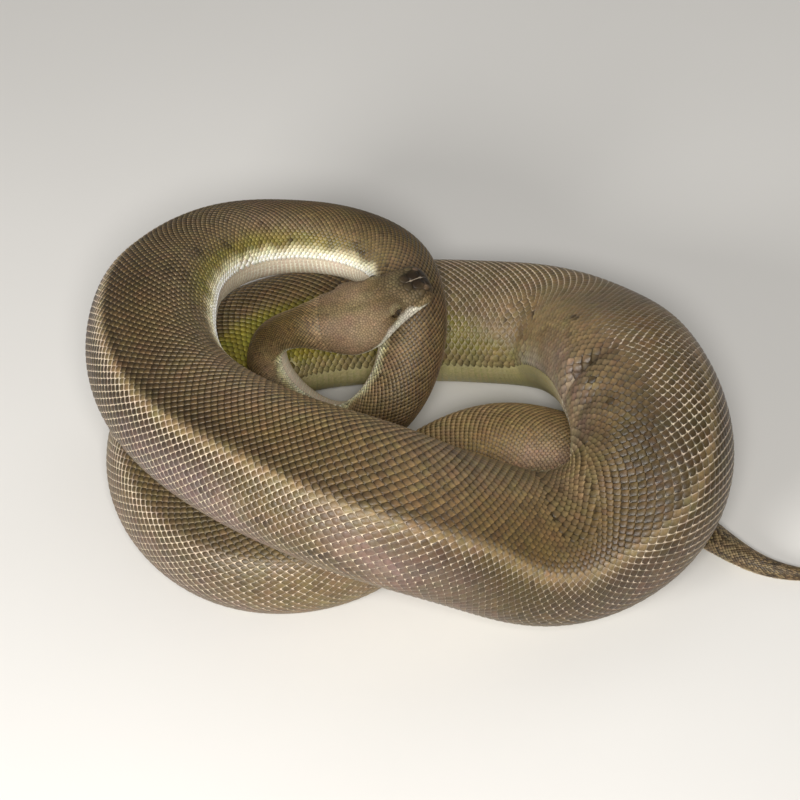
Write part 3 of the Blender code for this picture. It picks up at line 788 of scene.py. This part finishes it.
def belly_scutes(skin, stations, name, material):
    """The wide plates across the belly, one to each row, each over the front of the next."""
    across = np.linspace(-1, 1, 15)
    along = np.array([-0.15, 0.15, 0.60, 1.00, 1.08, 1.10])[:, None]
    at, count, rows, columns = stations[:, None, None], len(stations), len(along) + 1, len(across)
    pitch, rear = through(SCALE_PITCH, at), between(at, *REAR_COIL)
    half = math.pi - VENTRAL_EDGE + 0.06
    phi = math.pi + across * half * (1 - 0.03 * smoothstep(0.7, 1.1, along))
    phi = np.broadcast_to((phi + math.pi) % (2 * math.pi) - math.pi, (count, rows - 1, columns))
    s = at + along * pitch - 0.22 * pitch * (1 - across ** 2) * (along > 0.6)
    rise = (-0.01 + 0.035 * along) * pitch - 0.03 * pitch * np.abs(across) ** 6
    under = skin.lifted(s[:, -1:], phi[:, -1:], np.full((count, 1, columns), -0.25))
    points = np.concatenate([skin.lifted(s, phi, rise), under], axis=1)
    faces = grid_faces(rows, columns)[None] + (np.arange(count) * rows * columns)[:, None, None]
    random = np.random.default_rng(77)
    # Painted shade: the scutes on the inner side of the right turn are less pale.
    ivory = 0.60 - 0.52 * rear - 0.35 * shaded_inner_turn(at, -1.0)
    pale = mixed(body_tint(s[:, :1, :1], phi[:, :1, :1]), IVORY, ivory)
    pale = pale * random.normal(1.0, 0.03, (count, 1, 1, 1))
    pale = mixed(mixed(pale, TAN, 0.5 * smoothstep(2040, 2110, at)), PALE_MOSS, 0.8 * rear)
    tint = np.broadcast_to(pale, points.shape).copy()
    # Painted shade on the row tucked under each scute's rear edge.
    tint[:, -1:] *= 0.9
    local = np.stack(np.broadcast_arrays(np.linspace(-1, 1, rows)[:, None], across), -1).reshape(-1, 2)
    bake = bake_places(stations, np.full(count, 0.0), stations[0], stations[-1] + 8, local)
    piece = mesh_piece(name, points, [faces.reshape(-1, 4)], tint, material, bake)
    return piece


# --- The plates of the head --------------------------------------------------------------------
# Shields of the snout and crown: distance from the snout, out from the middle line, radius, in millimetres.
# Each but those on the middle line is made on both sides.
SHIELDS = (
    (0.02, 0.0, 3.4), (3.4, 3.0, 2.9), (5.4, 8.6, 2.3), (10.2, 4.1, 4.1), (11.0, 10.9, 2.3), (17.4, 3.4, 3.2),
)
# Rows of lip plates: height over the mouth, spacing, radius, and the distances between which they run.
LIP_ROWS = ((2.2, 4.1, 2.1, 3.2, 54.5), (-2.0, 3.4, 1.7, 2.6, 54.0))
TRIES = 70000             # places tried for the small scales of the head
SKULL_CAP_END = 82.0
LARGE = 1.5               # plates of a greater radius are shields


def head_seeds(skin):
    """Middles and radii of the head's plates: shields, lips, and small scales in what is left."""
    seeds = []
    for s, across, radius in SHIELDS:
        for sign in ((1,) if across == 0 else (1, -1)):
            seeds.append((s, angle_across(skin, s, sign * across), radius))
    for sign in (1, -1):
        for above, step, radius, start, stop in LIP_ROWS:
            for s in np.arange(start, stop, step):
                seeds.append((s, sign * angle_of_rise(skin, s, mouth_line(s) + above), radius))
    seeds.append((0.35, math.pi * 0.999, 2.2))
    seeds = np.array(seeds)
    random = np.random.default_rng(5)
    s, phi = random.uniform(0.5, SKULL_CAP_END, TRIES), random.uniform(-math.pi, math.pi, TRIES)
    place = skin.place(s, phi)
    points, rise = skin.read(skin.points, place), skin.read(skin.rise, place)
    side, lips = np.abs(skin.read(skin.across, place)), rise - mouth_line(s)
    eye, brow = round_eye(s, side, rise)
    radius = 0.80 + 0.30 * smoothstep(48, 24, s) + 0.45 * (1 - smoothstep(-2, 1, lips))
    radius = np.where(eye < 9, 0.72, radius)
    snout = (s < 19.5) & (side < 7.5 + 4 * (s < 12)) & (rise > 1.0)
    allowed = ((eye > EYE_RADIUS + 0.75) | (brow > 0.55)) & ~((np.abs(lips) < 0.6) & (s < GAPE)) & ~snout
    count = len(seeds)
    cloud, reach = np.zeros((8000, 3)), np.zeros(8000)
    cloud[:count], reach[:count] = skin.lifted(seeds[:, 0], seeds[:, 1], np.zeros(count)), seeds[:, 2]
    kept = [*seeds]
    for trial in np.flatnonzero(allowed):
        gap = np.sqrt(((cloud[:count] - points[trial]) ** 2).sum(1)) - reach[:count] * 0.94
        if gap.min() < radius[trial] * 0.80:
            continue
        cloud[count], reach[count] = points[trial], radius[trial]
        kept.append((s[trial], phi[trial], radius[trial]))
        count += 1
    return np.array(kept)


def angle_across(skin, s, across):
    """Angle at which the crown's surface lies at a distance out from the middle plane."""
    row = int(np.argmin(np.abs(skin.s - s)))
    crown = np.abs(skin.phi) < math.radians(70)
    return float(np.interp(across, skin.across[row, crown], skin.phi[crown]))


def angle_of_rise(skin, s, rise):
    """Angle at which the head's surface stands at a height over its axis."""
    row = int(np.argmin(np.abs(skin.s - s)))
    half = len(skin.phi) // 2
    return float(np.interp(-rise, -skin.rise[row, half:], skin.phi[half:]))


def clipped(polygon, normal, distance):
    """A convex outline cut to one side of a line."""
    depth = polygon @ normal - distance
    kept = []
    for here, there, a, b in zip(polygon, np.roll(polygon, -1, 0), depth, np.roll(depth, -1)):
        if a <= 0:
            kept.append(here)
        if (a <= 0) != (b <= 0):
            kept.append(here + (there - here) * a / (a - b))
    return np.array(kept)


def rounded(polygon, share, corners):
    """The outline with a share of each side cut off at its corners, as a fixed number of even points."""
    ahead = np.roll(polygon, -1, 0)
    cut = np.stack([(1 - share) * polygon + share * ahead, share * polygon + (1 - share) * ahead], 1)
    cut = cut.reshape(-1, 2)
    closed = np.concatenate([cut, cut[:1]])
    run = np.concatenate([[0], np.cumsum(np.linalg.norm(np.diff(closed, axis=0), axis=1))])
    at = np.linspace(0, run[-1], corners, endpoint=False)
    return np.column_stack([np.interp(at, run, closed[:, 0]), np.interp(at, run, closed[:, 1])])


def head_plates(skin, seeds):
    """Outlines of the plates: each takes the ground nearer to it than to its neighbours."""
    place = skin.place(seeds[:, 0], seeds[:, 1])
    middle, normal = skin.read(skin.points, place), unit(skin.read(skin.normals, place))
    ahead = skin.lifted(seeds[:, 0] + 0.4, seeds[:, 1], np.zeros(len(seeds))) - middle
    first = unit(ahead - (ahead * normal).sum(1)[:, None] * normal)
    second = np.cross(normal, first)
    radius = seeds[:, 2]
    turn = np.linspace(0, 2 * math.pi, 16, endpoint=False)
    circle = np.column_stack([np.cos(turn), np.sin(turn)])
    outlines = []
    for i in range(len(seeds)):
        away = middle - middle[i]
        distance = np.linalg.norm(away, axis=1)
        near = np.flatnonzero((distance < 2.3 * (radius + radius[i])) & (distance > 0))
        polygon = circle * radius[i] * (1.75 if radius[i] > LARGE else 1.45)
        for j in near:
            flat = np.array([away[j] @ first[i], away[j] @ second[i]])
            length = np.linalg.norm(flat)
            if length < 0.2 or normal[i] @ normal[j] < -0.2:
                continue
            border = (length ** 2 + radius[i] ** 2 - radius[j] ** 2) / (2 * length)
            gap = 0.5 * PLATE_GAP * min(1.0, radius[i] / 1.9)
            cut = clipped(polygon, flat / length, max(border, 0.25 * radius[i]) - gap)
            if len(cut) > 2:
                polygon = cut
        outlines.append(rounded(polygon, 0.12 if radius[i] > LARGE else 0.24, 12))
    return middle, first, second, np.array(outlines)


def plate_piece(name, skin, tree, seeds, plates, chosen, corners, material, seed):
    """The chosen plates of the head, laid on its skin and domed, each with a number of corners."""
    middle, first, second, outlines = (part[chosen] for part in plates)
    outlines = outlines[:, ::12 // corners]
    s, phi, radius = seeds[chosen].T
    random = np.random.default_rng(seed)
    heart = outlines.mean(1, keepdims=True)
    outward = outlines - heart
    shapes = np.concatenate([heart, heart + outward * 0.80, heart + outward], axis=1)
    flat = middle[:, None] + shapes[..., :1] * first[:, None] + shapes[..., 1:] * second[:, None]
    found = [tree.find_nearest(Vector(point)) for point in flat.reshape(-1, 3)]
    on_skin, normals = (np.array([hit[k] for hit in found]).reshape(len(s), -1, 3) for k in (0, 1))
    dome = np.minimum(0.07 * radius + 0.09, 0.26)[:, None]
    height = 0.05 + dome * np.repeat([1.0, 0.80, 0.12], [1, corners, corners])[None]
    top = on_skin + height[..., None] * unit(normals)
    skirt = on_skin[:, -corners:] - 0.22 * unit(normals[:, -corners:])
    rows, columns = np.divmod(np.array([hit[2] for hit in found]), len(skin.phi) - 1)
    under = any_tint(skin, skin.s[rows], skin.phi[columns]).reshape(len(s), -1, 3)
    under = np.concatenate([under, under[:, -corners:]], axis=1)
    own = (0.25 * any_tint(skin, s, phi)[:, None] + 0.75 * under) * random.normal(1.0, 0.09, (len(s), 1, 1))
    shares = np.repeat([0.0, 0.80, 1.0], [1, corners, 2 * corners])
    # Painted shade: each plate darkens a little towards its edge, and more on the skirt in the seam.
    tint = own * (1 - 0.15 * shares[None, :, None] ** 4)
    tint[:, -corners:] *= 0.6
    local = (shapes - heart) / np.maximum(radius, 0.5)[:, None, None] / 1.15
    local = np.concatenate([local, local[:, -corners:]], axis=1)
    bake = bake_places(s, phi, 0.0, SKULL_CAP_END, np.clip(local, -1, 1))
    points = np.concatenate([top, skirt], axis=1)
    piece = mesh_piece(name, points, plate_faces(len(s), corners), tint, material, bake)
    return piece


# --- The skin ----------------------------------------------------------------------------------
def whole_skin(head, body, material):
    """One closed skin from the tip of the snout to the tip of the tail, under the scales."""
    fine = len(head.phi) - 1
    ratio = fine // BODY_COLUMNS
    rows = np.flatnonzero(head.s <= HEAD_SKIN_END)
    head_s, head_phi = np.meshgrid(head.s[rows], head.phi[:-1], indexing="ij")
    body_s, body_phi = np.meshgrid(np.arange(HEAD_SKIN_END + 2.0, TIP, BODY_ROW_STEP),
                                   body.phi[:-1:(len(body.phi) - 1) // BODY_COLUMNS], indexing="ij")
    head_tints = any_tint(head, head_s.ravel(), head_phi.ravel())
    body_tints = body_tint(body_s.ravel(), body_phi.ravel())
    points = np.concatenate([(head.points[rows[0]].mean(0) - 0.05 * AXIS.along[0])[None],
                             head.points[rows, :-1].reshape(-1, 3),
                             body.lifted(body_s, body_phi, np.zeros(body_s.shape)).reshape(-1, 3),
                             AXIS.point[-1:]])
    own = np.concatenate([head_tints[:1], head_tints, body_tints, body_tints[-1:]])
    s = np.concatenate([[0.0], head_s.ravel(), body_s.ravel(), [TIP]])
    phi = np.concatenate([[0.0], head_phi.ravel(), body_phi.ravel(), [0.0]])
    pale = net_share(s, phi, body.read(body.along, body.place(s, phi))) * smoothstep(110, 240, s)
    pale = np.maximum(pale, smoothstep(1.6, 1.9, np.abs(phi)) * (s > 100))
    # Painted shade: the pale skin is darkened on the inner side of the right turn.
    pale = pale * (1 - 0.75 * shaded_inner_turn(s, phi) * smoothstep(1.5, 1.8, -phi))
    pale = pale * (1 - 0.8 * smoothstep(2030, 2090, s))
    seam = mixed(SEAM, PALE_MOSS, 0.8 * between(s, *REAR_COIL) * smoothstep(1.4, 1.8, np.abs(phi)))
    # Painted shade: between crowded scales the skin is dark, and where it is stretched it shows its own pale
    # colour.
    net = mixed(CREVICE_SHADE * 0.4 + 0.2 * own, seam, pale)
    net = mixed(net, 0.55 * own, 1 - smoothstep(*NECK_BLEND, s))
    on_head = slice(1, 1 + len(head_tints))
    net[on_head] = shaded_mouth_and_seam(head, rows, net[on_head])
    head_index = 1 + np.arange(head_s.size).reshape(head_s.shape)
    body_index = head_index.max() + 1 + np.arange(body_s.size).reshape(body_s.shape)
    stitches = []
    for k in range(BODY_COLUMNS):
        here, beyond = body_index[0, k], body_index[0, (k + 1) % BODY_COLUMNS]
        upper = [head_index[-1, (k * ratio + step) % fine] for step in range(ratio + 1)]
        for step in range(ratio):
            stitches.append((upper[step], upper[step + 1], here if step < ratio / 2 else beyond))
            if step == ratio // 2 - 1:
                stitches.append((here, upper[step + 1], beyond))
    triangles = [fan(0, head_index[0], True), fan(len(points) - 1, body_index[-1], False), np.array(stitches)]
    faces = [np.concatenate([strip(head_index), strip(body_index)]), np.concatenate(triangles)]
    piece = mesh_piece("snake_skin", points, faces, net, material)
    return piece


def shaded_mouth_and_seam(head, rows, tints):
    """The skin's colours with painted shade in the groove of the mouth, the nostrils and the sunken rims of
    the eyes, and a pale seam on the snout.
    """
    s, side, rise = head.s[rows, None], np.abs(head.across[rows, :-1]), head.rise[rows, :-1]
    lips = bump(rise - mouth_line(s) + 0.2, 0.5) * (s < GAPE + 1)
    eye, brow = round_eye(s, side, rise)
    rims = (1 - smoothstep(SOCKET_INNER, SOCKET_OUTER - 0.5, eye)) * (1 - smoothstep(0.3, 0.7, brow))
    # Painted shade in the groove of the mouth, the nostril pits and the sunken eye sockets.
    dark = np.clip(lips + bump(distance_from(NOSTRIL, s, side, rise), 1.1) + rims, 0, 1)
    middle = 0.6 * bump(side, 0.6) * between(s, 1.5, 4, 15, 19) * (rise > 2)
    return mixed(mixed(tints, SEAM, 0.85 * middle.ravel()), 0.25 * UMBER, 0.9 * dark.ravel())


def strip(index):
    """Quads between the rows of a tube's points."""
    over = np.roll(index, -1, axis=1)
    return np.stack([index[:-1], over[:-1], over[1:], index[1:]], -1).reshape(-1, 4)


def fan(tip, ring, turned):
    """Triangles that close a tube's end to one point."""
    pair = (np.roll(ring, -1), ring) if turned else (ring, np.roll(ring, -1))
    return np.column_stack([np.full(len(ring), tip), *pair])


# --- The eyes ----------------------------------------------------------------------------------
def eye_piece(name, sign, material):
    """A smooth eyeball whose pole looks out of the head, with its iris and slit pupil as colours."""
    centre, left, spine, along = AXIS.at(EYE_FROM_SNOUT, AXIS.point, AXIS.left, AXIS.spine, AXIS.along)
    middle = centre + sign * EYE_OUT * left + EYE_ABOVE_AXIS * spine
    pole = unit(sign * left + 0.30 * spine - 0.12 * along)
    upward = unit(spine - (spine @ pole) * pole)
    forward = np.cross(upward, pole)
    rings, sides = 40, 64
    polar = np.linspace(0, 1, rings + 1)[1:, None] ** 1.2 * math.radians(118)
    turn = np.linspace(2 * math.pi, 0, sides, endpoint=False)
    x, y = np.sin(polar) * np.cos(turn), np.sin(polar) * np.sin(turn)
    shell = x[..., None] * forward + y[..., None] * upward + np.cos(polar)[..., None] * pole
    shell = EYE_RADIUS * (1 + 0.05 * bump(polar, 0.55))[..., None] * shell
    points = np.concatenate([(middle + 1.05 * EYE_RADIUS * pole)[None], (middle + shell).reshape(-1, 3),
                             (middle - 0.47 * EYE_RADIUS * pole)[None]])
    index = 1 + np.arange(rings * sides).reshape(rings, sides)
    faces = [strip(index), np.concatenate([fan(0, index[0], True), fan(len(points) - 1, index[-1], False)])]
    radius = np.sin(polar) * np.ones_like(x)
    pupil = smoothstep(1.0, 0.8, np.sqrt((x / 0.13) ** 2 + (y / 0.56) ** 2))
    rays = np.clip(0.5 + 0.5 * np.sin(9 * np.arctan2(y, x) + 14 * radius), 0, 1)
    iris = mixed(shade(60, 47, 25), shade(30, 22, 12), rays)
    iris = mixed(iris, shade(24, 18, 12), smoothstep(0.62, 0.86, radius))
    colour = mixed(iris, shade(7, 6, 5), pupil)
    tint = np.concatenate([shade(7, 6, 5)[None], colour.reshape(-1, 3), shade(20, 15, 10)[None]])
    piece = mesh_piece(f"{name}_ball", points, faces, tint, material)
    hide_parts(name)
    return piece


# --- Materials ---------------------------------------------------------------------------------
def feed(tree, node, inputs):
    """Sets a node's inputs: an output is linked in, and any other value is written there."""
    for name, value in inputs.items():
        if isinstance(value, bpy.types.NodeSocket):
            tree.links.new(value, node.inputs[name])
        else:
            node.inputs[name].default_value = value


def add_node(tree, kind, inputs=None, **settings):
    """A node of one kind with its settings and inputs; its outputs are returned."""
    node = tree.nodes.new(kind)
    for name, value in settings.items():
        setattr(node, name, value)
    feed(tree, node, inputs or {})
    return node.outputs


def noise(tree, where, scale, detail, **inputs):
    """Noise over the given coordinates, with a number of waves to the metre."""
    return add_node(tree, "ShaderNodeTexNoise", {"Vector": where, "Scale": scale, "Detail": detail, **inputs})


def ranged(tree, value, low, high, to_low, to_high):
    """A value carried from one range to another."""
    return add_node(tree, "ShaderNodeMapRange", {"Value": value, "From Min": low, "From Max": high,
                                                 "To Min": to_low, "To Max": to_high})["Result"]


def tint_times(tree, share):
    """The colours carried by the mesh, made lighter or darker by a share."""
    tint = add_node(tree, "ShaderNodeAttribute", attribute_name="Tint")["Color"]
    return add_node(tree, "ShaderNodeVectorMath", {0: tint, "Scale": share}, operation="SCALE")["Vector"]


def base_material(name, roughness, gloss, coat, coat_roughness):
    material = bpy.data.materials.new(name)
    material.use_nodes = True
    tree = material.node_tree
    shader = tree.nodes["Principled BSDF"]
    feed(tree, shader, {"Roughness": roughness, "Specular IOR Level": gloss, "Coat Weight": coat,
                        "Coat Roughness": coat_roughness})
    return material, tree, shader


def scaly_material(name, roughness, gloss, coat, mottle, bump_strength, bump_size, wear):
    """The colours carried by the mesh, mottled and worn by noise, with a fine grain in relief."""
    material, tree, shader = base_material(name, roughness, gloss, coat, 0.16)
    where = add_node(tree, "ShaderNodeTexCoord")["Object"]
    speckle = noise(tree, where, mottle, 6, Roughness=0.62)["Fac"]
    mottled = tint_times(tree, ranged(tree, speckle, 0.32, 0.70, 0.80, 1.16))
    worn = add_node(tree, "ShaderNodeMix", data_type="RGBA", blend_type="SOFT_LIGHT", inputs={
        0: 0.16, 6: mottled, 7: noise(tree, where, wear, 3)["Color"]})[2]
    relief = add_node(tree, "ShaderNodeBump", {"Strength": bump_strength, "Distance": 0.0004,
                                               "Height": noise(tree, where, bump_size, 4)["Fac"]})["Normal"]
    sheen = ranged(tree, speckle, 0.3, 0.7, roughness - 0.07, roughness + 0.10)
    feed(tree, shader, {"Base Color": worn, "Roughness": sheen, "Normal": relief})
    return material


def eye_material():
    """A wet, clear-coated eye whose iris is speckled."""
    material, tree, shader = base_material("eye_wet", 0.12, 0.5, 1.0, 0.03)
    fleck = noise(tree, add_node(tree, "ShaderNodeTexCoord")["Object"], 2600, 5)["Fac"]
    feed(tree, shader, {"Base Color": tint_times(tree, ranged(tree, fleck, 0.0, 1.0, 0.55, 1.6))})
    return material


def floor_material():
    material, tree, shader = base_material("pale_floor", 0.75, 0.3, 0.0, 0.3)
    ramp = tree.nodes.new("ShaderNodeValToRGB")
    ramp.color_ramp.elements[0].color = (0.70, 0.69, 0.67, 1)
    ramp.color_ramp.elements[1].color = (0.76, 0.75, 0.73, 1)
    feed(tree, ramp, {"Fac": noise(tree, add_node(tree, "ShaderNodeTexCoord")["Object"], 3.0, 4)["Fac"]})
    feed(tree, shader, {"Base Color": ramp.outputs["Color"]})
    return material


# --- The set -----------------------------------------------------------------------------------
def linked(name, data):
    """A new object in the scene."""
    thing = bpy.data.objects.new(name, data)
    bpy.context.scene.collection.objects.link(thing)
    return thing


def add_floor():
    mesh = bpy.data.meshes.new("floor")
    half = 6.0
    mesh.from_pydata([(-half, -half, 0), (half, -half, 0), (half, half, 0), (-half, half, 0)], [],
                     [(0, 1, 2, 3)])
    mesh.materials.append(floor_material())
    floor = linked("floor", mesh)
    floor.location.z = -0.0006


def add_light(name, place, target, size, power, colour):
    light = bpy.data.lights.new(name, "AREA")
    light.shape, light.size, light.energy, light.color = "DISK", size, power, colour
    lamp = linked(name, light)
    lamp.location = place
    lamp.rotation_euler = (Vector(target) - Vector(place)).to_track_quat("-Z", "Y").to_euler()


def add_camera():
    camera = bpy.data.cameras.new("camera")
    camera.lens, camera.sensor_width, camera.clip_end = 121.5, 36.0, 20.0
    shown = linked("camera", camera)
    distance, height = 2.0, math.radians(45)
    shown.location = (-0.046, 0.092 - distance * math.cos(height), distance * math.sin(height))
    shown.rotation_euler = (math.radians(90) - height, 0, 0)
    bpy.context.scene.camera = shown


def add_set():
    add_floor()
    target = (-0.02, 0.0, 0.06)
    add_light("key", (-1.0, -1.45, 0.85), (-0.08, 0.0, 0.06), 0.7, 30, (1.0, 0.98, 0.95))
    add_light("front", (-0.05, -1.50, 1.50), target, 0.5, 32, (1.0, 0.98, 0.95))
    add_light("top", (0.2, 0.6, 2.2), target, 1.6, 3, (1.0, 0.985, 0.96))
    add_light("rim", (1.3, 1.7, 0.9), target, 0.9, 4, (1.0, 0.99, 0.98))
    world = bpy.data.worlds.new("studio")
    bpy.context.scene.world = world
    world.use_nodes = True
    tree = world.node_tree
    feed(tree, tree.nodes["Background"], {"Color": (0.86, 0.84, 0.80, 1), "Strength": 0.24})
    bpy.context.scene.view_settings.view_transform = "Standard"


# --- Putting it together -----------------------------------------------------------------------
def build():
    head_rows = np.concatenate([SNOUT_ROUND * (np.arange(1, 25) / 24) ** 2,
                                np.arange(SNOUT_ROUND + 0.45, HEAD_SKIN_END + 6, 0.45)])
    head = Skin(head_rows, HEAD_COLUMNS, head_relief)
    body = Skin(np.arange(60.0, TIP + 0.5), 2 * BODY_COLUMNS, body_relief)
    scale = scaly_material("scales", 0.38, 0.36, 0.05, 420, 0.35, 2600, 90)
    belly = scaly_material("belly_scutes", 0.36, 0.40, 0.08, 260, 0.20, 1800, 60)
    plates = scaly_material("head_plates", 0.46, 0.24, 0.02, 520, 0.35, 3200, 120)
    bare = scaly_material("skin_between", 0.55, 0.25, 0.0, 700, 0.6, 3600, 90)
    skin = whole_skin(head, body, bare)
    flesh = [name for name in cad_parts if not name.startswith("eye")]
    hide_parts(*flesh)
    eye = eye_material()
    eye_piece("eye_left", 1, eye)
    eye_piece("eye_right", -1, eye)
    rows, stations = scale_rows(body, SIDE_ROWS, SCALES_START, TAIL_SCALES)
    rows = rows[np.argsort(rows[:, 0], kind="stable")]
    for k, part in enumerate(np.array_split(rows, COAT_PIECES)):
        body_scales(f"scales_{k + 1}", body, part, part[0, 0], part[-1, 0] + 1, scale, 100 + k)
    tail_rows, _ = scale_rows(body, TAIL_SIDE_ROWS, TAIL_SCALES, TIP - 3)
    body_scales("scales_tail", body, tail_rows, TAIL_SCALES, TIP, scale, 120)
    _, tail_stations = scale_rows(body, 3, TAIL_SCALES, TIP - 6)
    scutes_at = np.concatenate([stations[stations > SCUTES_START], tail_stations])
    belly_scutes(body, scutes_at, "belly_scutes", belly)
    seeds = head_seeds(head)
    outlines = head_plates(head, seeds)
    tree = BVHTree.FromPolygons([Vector(p) for p in head.points.reshape(-1, 3)],
                                grid_faces(len(head.s), HEAD_COLUMNS + 1).tolist())
    rise = head.read(head.rise, head.place(seeds[:, 0], seeds[:, 1]))
    lower = (rise < mouth_line(seeds[:, 0])) & (seeds[:, 0] < GAPE + 2)
    large = seeds[:, 2] > LARGE
    plate_piece("head_shields", head, tree, seeds, outlines, large & ~lower, 12, plates, 7)
    plate_piece("head_granules", head, tree, seeds, outlines, ~large & ~lower, 6, plates, 9)
    plate_piece("jaw_plates", head, tree, seeds, outlines, lower, 12, plates, 8)


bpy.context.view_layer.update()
build()
add_set()
add_camera()
